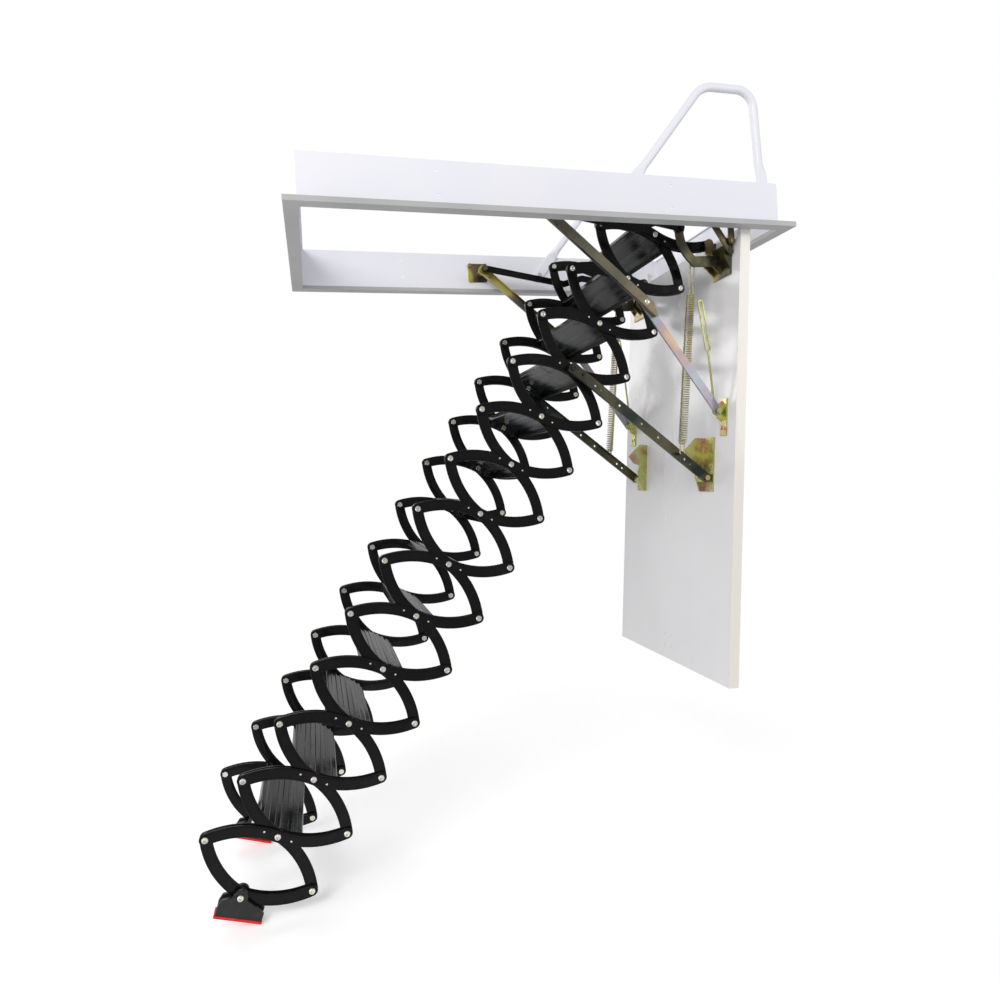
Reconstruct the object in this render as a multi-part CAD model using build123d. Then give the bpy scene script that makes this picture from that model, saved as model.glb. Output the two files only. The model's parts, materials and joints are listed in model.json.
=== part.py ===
from build123d import *
import os
from math import atan2, cos, degrees, hypot, radians, sin, tan

# Attic ladder with scissor side frames, hung from a hatch door in a sheet casing.
# Millimetres. X runs along the hatch, Y across it, Z up. The origin is the centre of
# the hatch on the ceiling plane, which the top face of the trim frame touches.
# Everything on the +Y side is the mirror of its twin on the -Y side.

os.makedirs("parts", exist_ok=True)

# --- hatch casing -----------------------------------------------------------------
HATCH_LENGTH = 1226.0  # outside of the casing, along X
HATCH_WIDTH = 644.0  # outside of the casing, along Y
WALL = 2.0
CASING_HEIGHT = 109.0
TOP_LIP = 6.0  # folded edge along the top of each wall
TRIM_THICKNESS = 13.0
TRIM_OVERLAP = 31.0  # how far the trim reaches past the casing
REBATE = 2.0  # depth the walls stand in the trim
FIXING_HOLE_RADIUS = 2.75
FIXING_SPACING_X = 600.0
FIXING_SPACING_Z = 55.0
FIXING_HEIGHT = 57.5

# --- door ---------------------------------------------------------------------------
DOOR_GAP = 7.0  # between the closed door and the casing at each end
DOOR_SIDE_GAP = 3.0
DOOR_THICKNESS = 29.0
DOOR_TILT = 4.85  # the open door leans this far past upright, its foot towards -X
DOOR_TOP = (502.1, -7.4)  # top corner of the inner face, door open
LATCH_FROM_END = 57.0
LATCH_HOLE_RADIUS = 2.5
LATCH_PITCH_RADIUS = 24.0

# --- scissor frames -----------------------------------------------------------------
TREADS = 13
HALF_ARM = 159.7  # centre pivot to end pivot
OPEN_ANGLE = 28.02  # arms to the line across the frame, ladder pulled down
LEAN = 53.75  # the ladder's line below level
TOP_CROSSING = (321.8, 9.5)
ARM_WIDTH = 27.0
BOSS_RADIUS = 14.0
ARC_HALF_ANGLE = 22.0  # each half arm is an arc of twice this angle
TREAD_HALF_WIDTH = 175.0
PLATE = 4.5
MIDDLE_PLATE = 5.5
PLATE_GAP = 0.5
BOLT_RADIUS = 5.0
RUNNING_CLEARANCE = 0.06
HEAD_RADIUS = 7.5
HEAD_HEIGHT = 4.5
NUT_HEIGHT = 4.0
STUB_OFFSET = 34.0  # small screws beside each centre bolt
TREAD_DEPTH = 116.0
TREAD_SHEET = 3.0
TREAD_LIP = 18.0
TREAD_RISE = 10.0  # top sheet above the centre pivots
RIB_COUNT = 7

# --- layers across the ladder, as distances from the middle -------------------------
INNER_PLATE_Y = TREAD_HALF_WIDTH + PLATE_GAP
MIDDLE_PLATE_Y = INNER_PLATE_Y + PLATE + PLATE_GAP
OUTER_PLATE_Y = MIDDLE_PLATE_Y + MIDDLE_PLATE + PLATE_GAP
ARM_FACE_Y = OUTER_PLATE_Y + PLATE
CHEEK_Y = 200.0
GUIDE_Y = 206.0
SPRING_Y = 233.0
LEVER_CHEEK_Y = 230.0
LEVER_Y = 240.0
BAR_Y = 250.0
LINK_Y = 252.0
MID_CHEEK_Y = 256.0
STRAP_Y = 262.0
CHANNEL_Y = 268.0
HINGE_CHEEK_Y = 276.0
HINGE_STRAP_Y = 284.0
SHORT_STRAP_Y = 291.0
RAIL_RADIUS = 10.5

# --- linkage pivots, (x, z) with the door open --------------------------------------
STAY_TOP = (-45.0, 45.0)
STAY_ELBOW = (240.0, -197.0)
STAY_FOOT = (441.0, -481.0)
LEVER_PIVOT = (472.0, -74.0)
LEVER_TOP = (364.0, 8.0)
LEVER_KNEE = (406.0, -78.0)
BAR_CRANK_LOW = (225.0, 0.0)
BAR_CRANK_HIGH = (290.0, 20.0)
GUIDE_FOOT = (430.0, -660.0)
SPRING_FOOT = (346.0, -590.0)
HINGE_LONG = ((398.0, 71.0), (488.0, -60.0))  # pivot on the casing, pivot on the door
HINGE_SHORT = ((487.0, 56.0), (488.0, -36.0))
HINGE_REACH = (106.0, 34.0)  # modelled length of each strap from its casing pin
RAIL_POINTS = [(169, 57), (409, 352), (560, 354), (574, 66)]
RAIL_RADII = [70, 48]
RAIL_FOOT = 22.0  # pressed end past the last point, before its rounding
RAIL_FOOT_WIDTH = 32.0
COIL_RADIUS = 12.0
COIL_WALL = 3.0
COIL_START = 86.0
COIL_LENGTH = 404.0
PIN_RADIUS = 5.0
STRAP_SHEET = 5.0
CHANNEL_WIDTH = 24.0
CHANNEL_WALL = 2.5
STAY_STRAP_WIDTH = 23.0

# --- feet -----------------------------------------------------------------------------
SOLE_THICKNESS = 6.0
SOLE_DROP = 53.0  # bottom of the sole below the foot pivot
SHOE_SHELF = 11.0  # top of the wedge under the arms, above the sole
SHOE_HEEL = 63.0
SHOE_TOE = 47.0
FOOT_TILT = 20.0  # the hanging shoes swing this far heel down from level
CHEEK_THICKNESS = 9.0
FOOT_INNER_Y = INNER_PLATE_Y - CHEEK_THICKNESS
FOOT_OUTER_Y = ARM_FACE_Y + CHEEK_THICKNESS + 0.5


def add(a, b, k=1.0):
    """Point a moved by k times b."""
    return (a[0] + k * b[0], a[1] + k * b[1])


def towards(a, b):
    """Unit vector from a to b, and their distance."""
    span = hypot(b[0] - a[0], b[1] - a[1])
    return ((b[0] - a[0]) / span, (b[1] - a[1]) / span), span


# --- frame of the ladder --------------------------------------------------------------
ALONG = (-cos(radians(LEAN)), -sin(radians(LEAN)))
ACROSS = (sin(radians(LEAN)), -cos(radians(LEAN)))
STEP = 2 * HALF_ARM * sin(radians(OPEN_ANGLE))
HALF_SPAN = HALF_ARM * cos(radians(OPEN_ANGLE))
ARC_RISE = HALF_ARM / 2 * tan(radians(ARC_HALF_ANGLE / 2))


def crossing(k):
    """Centre pivot that carries tread k."""
    return add(TOP_CROSSING, ALONG, k * STEP)


def lens_centre(k):
    return add(crossing(k), ALONG, STEP / 2)


def left_pivot(k):
    return add(lens_centre(k), ACROSS, -HALF_SPAN)


def right_pivot(k):
    return add(lens_centre(k), ACROSS, HALF_SPAN)


# --- frame of the door ----------------------------------------------------------------
DOOR_DOWN = (-sin(radians(DOOR_TILT)), -cos(radians(DOOR_TILT)))
DOOR_OUT = (-cos(radians(DOOR_TILT)), sin(radians(DOOR_TILT)))
DOOR_LENGTH = HATCH_LENGTH - 2 * WALL - 2 * DOOR_GAP
DOOR_HALF_WIDTH = HATCH_WIDTH / 2 - WALL - DOOR_SIDE_GAP


def on_door(down, out):
    """Point so far down the door from its top edge and so far out from its inner face."""
    return add(add(DOOR_TOP, DOOR_DOWN, down), DOOR_OUT, out)


def door_depth(point):
    """How far down the door a point lies."""
    return (point[0] - DOOR_TOP[0]) * DOOR_DOWN[0] + (point[1] - DOOR_TOP[1]) * DOOR_DOWN[1]


# --- making solids ----------------------------------------------------------------------
def slab(face, low, high):
    """A face drawn in XZ made into the solid between y = -high and y = -low."""
    return Pos(0, -low, 0) * extrude(Plane.XZ * face, high - low)


def outline(points):
    return make_face(Polyline(*points, close=True))


def disc(centre, radius):
    return Pos(*centre) * Circle(radius)


def rod(centre, radius, low, high):
    return slab(disc(centre, radius), low, high)


def bar_face(a, b, width):
    """Round-ended strip from a to b."""
    return SlotCenterToCenter(hypot(b[0] - a[0], b[1] - a[1]), width).locate(
        Pos((a[0] + b[0]) / 2, (a[1] + b[1]) / 2) * Rot(0, 0, degrees(atan2(b[1] - a[1], b[0] - a[0])))
    )


def hex_bolt(centre, radius, low, high):
    """Six-sided nut or bolt head."""
    return slab(Pos(*centre) * RegularPolygon(radius, 6), low, high)


def socket_head(centre, radius, low, high):
    head = rod(centre, radius, low, high)
    return head - slab(Pos(*centre) * RegularPolygon(radius * 0.5, 6), high - (high - low) * 0.6, high + 1)


def both_sides(solids):
    return list(solids) + [mirror(solid, Plane.XZ) for solid in solids]


def save(node, solids):
    shape = Compound(children=[s for solid in solids for s in solid.solids()])
    export_step(shape, f"parts/{node}.step")


# --- hatch ------------------------------------------------------------------------------
def casing_walls():
    """Four folded sheet walls, each with a lip along its top edge."""
    half_x, half_y = HATCH_LENGTH / 2, HATCH_WIDTH / 2
    middle, tall = (CASING_HEIGHT - REBATE) / 2, CASING_HEIGHT + REBATE
    side = Pos(0, -half_y + WALL / 2, middle) * Box(HATCH_LENGTH, WALL, tall)
    holes = [
        Pos(i * FIXING_SPACING_X / 2, -half_y, FIXING_HEIGHT + j * FIXING_SPACING_Z / 2)
        * Rot(90, 0, 0)
        * Cylinder(FIXING_HOLE_RADIUS, 4 * WALL)
        for i in (-1, 1)
        for j in (-1, 1)
    ]
    for hole in holes:
        side -= hole
    end = Pos(half_x - WALL / 2, 0, middle) * Box(WALL, HATCH_WIDTH - 2 * WALL, tall)
    lip = Pos(half_x - WALL - TOP_LIP / 2, 0, CASING_HEIGHT - WALL / 2)
    end += lip * Box(TOP_LIP, HATCH_WIDTH - 2 * WALL, WALL)
    return both_sides([side]) + [end, mirror(end, Plane.YZ)]


def trim_frame():
    """Four mitred strips that lie against the ceiling, rebated for the walls."""

    def mitred(corner, next_corner, lip):
        """Strip between two corners, its inner edge that far inside the casing's outer face."""
        (ax, ay), (bx, by) = corner, next_corner
        outer_x, outer_y = HATCH_LENGTH / 2 + TRIM_OVERLAP, HATCH_WIDTH / 2 + TRIM_OVERLAP
        inner_x, inner_y = HATCH_LENGTH / 2 - lip, HATCH_WIDTH / 2 - lip
        return outline(
            [
                (ax * outer_x, ay * outer_y),
                (bx * outer_x, by * outer_y),
                (bx * inner_x, by * inner_y),
                (ax * inner_x, ay * inner_y),
            ]
        )

    corners = [(-1, -1), (1, -1), (1, 1), (-1, 1)]
    strips = []
    for corner, next_corner in zip(corners, corners[1:] + corners[:1]):
        strip = Pos(0, 0, -TRIM_THICKNESS) * extrude(mitred(corner, next_corner, 0), TRIM_THICKNESS)
        lip = extrude(mitred(corner, next_corner, WALL), TRIM_THICKNESS - REBATE)
        strips.append(strip + Pos(0, 0, -TRIM_THICKNESS) * lip)
    return strips


def handrails():
    """A bent tube on each long wall, its ends pressed flat and bolted on."""
    wall = HATCH_WIDTH / 2 - WALL
    centre = wall - RAIL_RADIUS
    path = FilletPolyline(*[(x, -centre, z) for x, z in RAIL_POINTS], radius=RAIL_RADII)
    tube = sweep(Plane(path @ 0, z_dir=path % 0) * Circle(RAIL_RADIUS), path)
    bolts = []
    for inner, (x, z) in ((RAIL_POINTS[1], RAIL_POINTS[0]), (RAIL_POINTS[-2], RAIL_POINTS[-1])):
        leg = hypot(x - inner[0], z - inner[1])
        dx, dz = (x - inner[0]) / leg, (z - inner[1]) / leg

        def along(distance):
            return (x + dx * distance, z + dz * distance)

        tube += slab(bar_face(along(-8), along(RAIL_FOOT), RAIL_FOOT_WIDTH), wall - 6, wall)
        bolts += [hex_bolt(along(down), 7, wall - 11, wall - 6) for down in (11, RAIL_FOOT + 4)]
    return both_sides([tube] + bolts)


def casing_brackets():
    """Plates on the long walls that carry the stays, the top bars and the hinge straps."""
    wall = HATCH_WIDTH / 2 - WALL
    solids = []
    x, z = STAY_TOP
    plate = slab(Pos(x - 8, z + 4) * RectangleRounded(64, 60, 6), wall - 4, wall)
    solids.append(plate + rod(STAY_TOP, 11, CHANNEL_Y + 13, wall - 4) + rod(STAY_TOP, 6, BAR_Y - 3, wall - 4))
    for dx in (-34, 18):
        for dz in (-20, 28):
            solids.append(hex_bolt((x + dx, z + dz), 6.5, wall - 9, wall - 4))
    for (pivot, _), layer in ((HINGE_LONG, HINGE_STRAP_Y), (HINGE_SHORT, SHORT_STRAP_Y)):
        foot = slab(Pos(*pivot) * RectangleRounded(34, 46, 6), wall - 4, wall)
        foot += rod(pivot, 9, layer + STRAP_SHEET + 0.4, wall - 4)
        solids.append(foot + rod(pivot, PIN_RADIUS, layer - 2, wall - 4))
    solids.append(rod(STAY_TOP, 9, BAR_Y - 8, BAR_Y - 3))
    return both_sides(solids)


# --- door --------------------------------------------------------------------------------
def door_panel():
    """Painted board with a row of latch holes near its free end."""
    corners = [
        on_door(0, 0),
        on_door(DOOR_LENGTH, 0),
        on_door(DOOR_LENGTH, -DOOR_THICKNESS),
        on_door(0, -DOOR_THICKNESS),
    ]
    panel = slab(outline(corners), -DOOR_HALF_WIDTH, DOOR_HALF_WIDTH)
    x, z = on_door(DOOR_LENGTH - LATCH_FROM_END, 0)
    face = Pos(x, 0, z) * Rot(0, -90 + DOOR_TILT, 0)
    for i in (-1, 1):
        for j in (-1, 1):
            reach = LATCH_PITCH_RADIUS / 2**0.5
            hole = Pos(i * reach, j * reach, 0) * Cylinder(LATCH_HOLE_RADIUS, 3 * DOOR_THICKNESS)
            panel -= face * hole
    return [panel]


def hinge_brackets():
    """Folded brackets at the top of the door, with the pins of the frame and the straps."""
    top, bottom = 24.0, 112.0
    base = outline([on_door(top, 0), on_door(bottom, 0), on_door(bottom, 4), on_door(top, 4)])
    solids = [slab(base, CHEEK_Y, HINGE_CHEEK_Y + 5)]
    upper, lower = right_pivot(-1), LEVER_PIVOT
    corners = [(5, 0.5), (bottom - 12, 4), (bottom - 30, 26), (8, 34)]
    cheek = outline([on_door(*corner) for corner in corners])
    cheek += disc(upper, 13) + disc(lower, 12)
    door_side = outline([on_door(-60, -40), on_door(200, -40), on_door(200, 0.4), on_door(-60, 0.4)])
    cheek -= door_side
    solids[0] += slab(cheek, CHEEK_Y, CHEEK_Y + 5)
    solids[0] += slab(cheek - disc(upper, 30), LEVER_CHEEK_Y, LEVER_CHEEK_Y + 5)
    solids[0] += rod(lower, PIN_RADIUS, LEVER_CHEEK_Y, LEVER_Y + 9)
    solids[0] += rod(upper, BOLT_RADIUS, INNER_PLATE_Y - 1, CHEEK_Y)
    solids[0] += rod(upper, 9, ARM_FACE_Y + 0.6, CHEEK_Y)
    ears = outline([on_door(18, 0.5), on_door(bottom - 20, 4), on_door(bottom - 45, 24), on_door(18, 22)])
    for _, pivot in (HINGE_LONG, HINGE_SHORT):
        ears += disc(pivot, 11)
    ears -= door_side
    solids[0] += slab(ears, HINGE_CHEEK_Y, HINGE_CHEEK_Y + 5)
    for (_, pivot), layer in ((HINGE_LONG, HINGE_STRAP_Y), (HINGE_SHORT, SHORT_STRAP_Y)):
        solids[0] += rod(pivot, PIN_RADIUS, HINGE_CHEEK_Y, layer + 7)
    solids.append(hex_bolt(upper, 8, INNER_PLATE_Y - 5, INNER_PLATE_Y - 1))
    return both_sides(solids)


def door_screws(down, across, out):
    """Pan head of a screw driven into the inner face of the door."""
    x, z = on_door(down, out)
    head = Cylinder(4.5, 2.4, align=(Align.CENTER, Align.CENTER, Align.MIN))
    return Pos(x, -across, z) * Rot(0, -90 + DOOR_TILT, 0) * head


def door_brackets():
    """Clevis of each stay, notched angle of each guide arm, and the safety links."""
    solids = []
    depth = door_depth(STAY_FOOT)
    base = outline([on_door(depth - 34, 0), on_door(depth + 66, 0), on_door(depth + 66, 4), on_door(depth - 34, 4)])
    clevis = slab(base, MID_CHEEK_Y - 6, CHANNEL_Y + 12)
    cheek = outline([on_door(depth - 30, 0.5), on_door(depth + 30, 0.5), on_door(depth + 18, 20), on_door(depth - 14, 22)])
    cheek += disc(STAY_FOOT, 12)
    clevis += slab(cheek, MID_CHEEK_Y, MID_CHEEK_Y + 5)
    clevis += rod(STAY_FOOT, PIN_RADIUS, LINK_Y - 5, CHANNEL_Y + 1)
    solids += [clevis, hex_bolt(STAY_FOOT, 8, CHANNEL_Y + 1, CHANNEL_Y + 6)]
    solids += [door_screws(depth + 46, y, 4) for y in (MID_CHEEK_Y + 2, CHANNEL_Y + 3)]

    depth = door_depth(GUIDE_FOOT)
    up, low, web = depth - 112, depth + 38, 168.0
    base = outline([on_door(up, 0), on_door(low, 0), on_door(low, 3), on_door(up, 3)])
    angle = slab(base, web, web + 56)
    notched = outline(
        [
            on_door(up, 0.5),
            on_door(low, 0.5),
            on_door(low, 12),
            on_door(depth - 22, 32),
            on_door(depth - 44, 26),
            on_door(depth - 50, 48),
            on_door(depth - 72, 66),
            on_door(up, 28),
        ]
    )
    angle += slab(notched, web, web + 3)
    angle += rod(GUIDE_FOOT, 12, web + 3, GUIDE_Y - 1)
    angle += rod(GUIDE_FOOT, PIN_RADIUS, web + 3, GUIDE_Y + 10)
    solids += [angle, hex_bolt(GUIDE_FOOT, 8, GUIDE_Y + 10, GUIDE_Y + 15)]
    for down, across in ((up + 26, web + 18), (up + 26, web + 42), (up + 78, web + 42)):
        solids.append(door_screws(down, across, 3))
    return both_sides(solids + safety_link())


def safety_link():
    """Long wire eye beside the spring, and the rod down to the stay clevis."""
    eye_top, eye_foot = (412.0, -190.0), (428.0, -312.0)
    eye = slab(bar_face(eye_top, eye_foot, 16), LINK_Y - 2, LINK_Y + 2)
    eye -= slab(bar_face(eye_top, eye_foot, 9), LINK_Y - 3, LINK_Y + 3)
    down, _ = towards(eye_foot, STAY_FOOT)
    start, end = add(eye_foot, down, 4), add(STAY_FOOT, down, -PIN_RADIUS - 2)
    rest = slab(bar_face(start, end, 5), LINK_Y - 2, LINK_Y + 2)
    rest += rod(STAY_FOOT, PIN_RADIUS + 4, LINK_Y - 2, LINK_Y + 2)
    rest -= rod(STAY_FOOT, PIN_RADIUS, LINK_Y - 3, LINK_Y + 3)
    return [eye + (rest - slab(bar_face(eye_top, eye_foot, 9), LINK_Y - 3, LINK_Y + 3))]


# --- linkage -----------------------------------------------------------------------------
def stay_channels():
    """Folded channel from the casing to the elbow, cut to a point past the rivet."""
    (ux, uz), span = towards(STAY_TOP, STAY_ELBOW)
    nx, nz = -uz, ux

    def at(along, off):
        return (STAY_TOP[0] + ux * along + nx * off, STAY_TOP[1] + uz * along + nz * off)

    edge, inner = CHANNEL_WIDTH / 2, CHANNEL_WIDTH / 2 - CHANNEL_WALL
    web = outline([at(0, edge), at(span + 14, edge), at(span + 46, 5 - edge), at(span + 43, -edge), at(0, -edge)])
    web += disc(STAY_TOP, 15)
    inside = outline([at(26, inner), at(span + 32, inner), at(span + 60, -inner), at(26, -inner)])
    channel = slab(web, CHANNEL_Y, CHANNEL_Y + 12) - slab(inside, CHANNEL_Y - 1, CHANNEL_Y + 9.5)
    hub = rod(STAY_TOP, 6 + RUNNING_CLEARANCE, CHANNEL_Y - 9, CHANNEL_Y + 13)
    rivet = rod(STAY_ELBOW, 6, CHANNEL_Y, CHANNEL_Y + 14)
    return both_sides([channel - hub - rod(STAY_ELBOW, 6, CHANNEL_Y - 9, CHANNEL_Y + 13), rivet])


def stay_straps():
    strap = bar_face(STAY_ELBOW, STAY_FOOT, STAY_STRAP_WIDTH)
    solid = slab(strap, STRAP_Y, STRAP_Y + 5) - rod(STAY_FOOT, PIN_RADIUS + RUNNING_CLEARANCE, STRAP_Y - 1, STRAP_Y + 6)
    return both_sides([solid])


def hinge_strap(pivots, reach, layer):
    """Strap on a casing pin, aimed at its door pin and ending short of the door's path."""
    aim, _ = towards(*pivots)
    strap = slab(bar_face(pivots[0], add(pivots[0], aim, reach), 22), layer, layer + STRAP_SHEET)
    strap -= rod(pivots[0], PIN_RADIUS + RUNNING_CLEARANCE, layer - 1, layer + STRAP_SHEET + 1)
    return both_sides([strap])


def top_bars():
    """Cranked flat bar from the casing bracket to the top of the lever."""
    face = bar_face(STAY_TOP, BAR_CRANK_LOW, 20) + bar_face(BAR_CRANK_LOW, BAR_CRANK_HIGH, 20)
    face += bar_face(BAR_CRANK_HIGH, LEVER_TOP, 20)
    bar = slab(face, BAR_Y, BAR_Y + 6) - rod(STAY_TOP, 6 + RUNNING_CLEARANCE, BAR_Y - 1, BAR_Y + 7)
    return both_sides([bar, hex_bolt(LEVER_TOP, 8, BAR_Y + 6, BAR_Y + 11)])


def levers():
    """Curved lever on the hinge bracket, with its rollers and the spring post."""
    curve = ThreePointArc(LEVER_TOP, add(LEVER_TOP, (10, -48)), LEVER_KNEE)
    face = SlotArc(curve, 24) + bar_face(LEVER_KNEE, LEVER_PIVOT, 28) + disc(LEVER_TOP, 15) + disc(LEVER_PIVOT, 15)
    plate = slab(face, LEVER_Y, LEVER_Y + 6)
    plate -= rod(LEVER_PIVOT, PIN_RADIUS + RUNNING_CLEARANCE, LEVER_Y - 1, LEVER_Y + 7)
    plate += rod(LEVER_KNEE, 4, SPRING_Y - 4, LEVER_Y)
    plate += rod(LEVER_TOP, 7, LEVER_Y + 6, BAR_Y - 0.4)
    rollers = [rod(add(LEVER_TOP, offset), 7, LEVER_Y - 5, LEVER_Y) for offset in ((3, -22), (14, -54))]
    return both_sides([plate] + rollers)


def guide_arms():
    """Perforated channel from the door bracket up to the fourth crossing."""
    top = crossing(3)
    (ux, uz), span = towards(top, GUIDE_FOOT)
    arm = slab(bar_face(top, GUIDE_FOOT, 26), GUIDE_Y, GUIDE_Y + 9)
    pocket = bar_face(add(top, (ux, uz), 22), add(GUIDE_FOOT, (ux, uz), -70), 20)
    arm -= slab(pocket, GUIDE_Y - 1, GUIDE_Y + 6.5)
    for along in (30, 75, 95, 160, 240, 300, span - 110, span - 85, span - 62):
        arm -= rod(add(top, (ux, uz), along), 3.2, GUIDE_Y - 1, GUIDE_Y + 10)
    arm -= rod(GUIDE_FOOT, PIN_RADIUS + RUNNING_CLEARANCE, GUIDE_Y - 1, GUIDE_Y + 10)
    arm += rod(SPRING_FOOT, 4, GUIDE_Y + 6.5, SPRING_Y + 4)
    return both_sides([arm, socket_head(top, HEAD_RADIUS, GUIDE_Y + 9, GUIDE_Y + 13)])


def springs():
    """Close-wound coil with a long wire hanger above it and a hook below it."""
    (ux, uz), span = towards(LEVER_KNEE, SPRING_FOOT)
    coil_top = add(LEVER_KNEE, (ux, uz), COIL_START)
    coil_foot = add(coil_top, (ux, uz), COIL_LENGTH)
    tilt = degrees(atan2(-ux, -uz))
    centre = Pos((coil_top[0] + coil_foot[0]) / 2, -SPRING_Y, (coil_top[1] + coil_foot[1]) / 2)
    coil = centre * Rot(0, tilt, 0) * (Cylinder(COIL_RADIUS, COIL_LENGTH) - Cylinder(COIL_RADIUS - COIL_WALL, COIL_LENGTH))

    def eye(a, b, width):
        ring = slab(bar_face(a, b, width + 4), SPRING_Y - 2, SPRING_Y + 2)
        return ring - slab(bar_face(a, b, width), SPRING_Y - 3, SPRING_Y + 3)

    hanger = eye(LEVER_KNEE, add(coil_top, (ux, uz), -4), 9.4)
    hook = eye(add(coil_foot, (ux, uz), 5), SPRING_FOOT, 9.4)
    caps = []
    for end, sign in ((coil_top, 1), (coil_foot, -1)):
        middle = add(end, (ux, uz), sign * 1.5)
        cap = Pos(middle[0], -SPRING_Y, middle[1]) * Rot(0, tilt, 0) * Cylinder(COIL_RADIUS, 3)
        caps.append(cap)
    return both_sides([coil + caps[0] + caps[1] + hanger + hook])


# --- scissor arms ------------------------------------------------------------------------
def half_arm(centre, tip, lens):
    """Curved half of an arm from its centre pivot to a tip, bulging away from a lens."""
    middle = ((centre[0] + tip[0]) / 2, (centre[1] + tip[1]) / 2)
    (ux, uz), _ = towards(centre, tip)
    nx, nz = -uz, ux
    away = 1 if (middle[0] - lens[0]) * nx + (middle[1] - lens[1]) * nz > 0 else -1
    peak = add(middle, (nx, nz), away * ARC_RISE)
    return SlotArc(ThreePointArc(centre, peak, tip), ARM_WIDTH) + disc(tip, BOSS_RADIUS) + disc(centre, BOSS_RADIUS)


def arm_plate(face, pivots, hole, low, thickness):
    plate = slab(face, low, low + thickness)
    for pivot in pivots:
        plate -= rod(pivot, hole, low - 1, low + thickness + 1)
    return plate


def tread_line(k):
    """Unit vector along tread k, which lies along the carrying arm at its centre."""
    turn = radians(OPEN_ANGLE - ARC_HALF_ANGLE)
    return add((ACROSS[0] * cos(turn), ACROSS[1] * cos(turn)), ALONG, -sin(turn))


def carrying_arm(k):
    """Pair of plates each side that carries tread k, with the bolts through them."""
    centre, left, right = crossing(k), left_pivot(k), right_pivot(k - 1)
    face = half_arm(centre, left, lens_centre(k)) + half_arm(centre, right, lens_centre(k - 1))
    bolted = [left, centre, right] if k else [left, centre]
    solids = []
    for low in (INNER_PLATE_Y, OUTER_PLATE_Y):
        plate = arm_plate(face, bolted, BOLT_RADIUS, low, PLATE)
        if not k:
            plate -= rod(right, BOLT_RADIUS + RUNNING_CLEARANCE, low - 1, low + PLATE + 1)
        solids.append(plate)
    solids += bolts_of(k, bolted, centre)
    return both_sides(solids)


def bolts_of(k, pivots, centre):
    """Socket bolts with nuts, and the two small screws beside the centre bolt."""
    solids = []
    for pivot in pivots:
        inner = INNER_PLATE_Y - (TREAD_SHEET + PLATE_GAP if pivot == centre else 0)
        shaft = rod(pivot, BOLT_RADIUS, inner - NUT_HEIGHT, ARM_FACE_Y)
        shaft += socket_head(pivot, HEAD_RADIUS, ARM_FACE_Y, ARM_FACE_Y + HEAD_HEIGHT)
        shaft += hex_bolt(pivot, 8, inner - NUT_HEIGHT, inner)
        solids.append(shaft)
    for sign in (-1, 1):
        spot = add(centre, tread_line(k), sign * STUB_OFFSET)
        solids.append(socket_head(spot, 5.0, ARM_FACE_Y, ARM_FACE_Y + 2.5))
    return solids


def crossing_arm(k):
    """Single plate each side that runs between the carrying arms."""
    centre = crossing(k)
    face, pivots = None, [centre]
    if k > 0:
        pivots.append(left_pivot(k - 1))
        face = half_arm(centre, pivots[-1], lens_centre(k - 1))
    if k < TREADS:
        pivots.append(right_pivot(k))
        half = half_arm(centre, pivots[-1], lens_centre(k))
        face = half if face is None else face + half
    hole = BOLT_RADIUS + RUNNING_CLEARANCE
    return both_sides([arm_plate(face, pivots, hole, MIDDLE_PLATE_Y, MIDDLE_PLATE)])


def end_arm():
    """Half carrying arm at the foot of the ladder."""
    centre, tip = crossing(TREADS), right_pivot(TREADS - 1)
    face = half_arm(centre, tip, lens_centre(TREADS - 1))
    solids = [arm_plate(face, [tip, centre], BOLT_RADIUS, low, PLATE) for low in (INNER_PLATE_Y, OUTER_PLATE_Y)]
    shaft = rod(tip, BOLT_RADIUS, INNER_PLATE_Y - NUT_HEIGHT, ARM_FACE_Y)
    shaft += socket_head(tip, HEAD_RADIUS, ARM_FACE_Y, ARM_FACE_Y + HEAD_HEIGHT)
    shaft += hex_bolt(tip, 8, INNER_PLATE_Y - NUT_HEIGHT, INNER_PLATE_Y)
    pivot = rod(centre, BOLT_RADIUS, FOOT_INNER_Y - 1, FOOT_OUTER_Y + 0.5)
    pivot += hex_bolt(centre, 8, FOOT_INNER_Y - 5, FOOT_INNER_Y - 0.5)
    pivot += socket_head(centre, HEAD_RADIUS, FOOT_OUTER_Y + 0.5, FOOT_OUTER_Y + 5)
    return both_sides(solids + [shaft, pivot])


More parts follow.
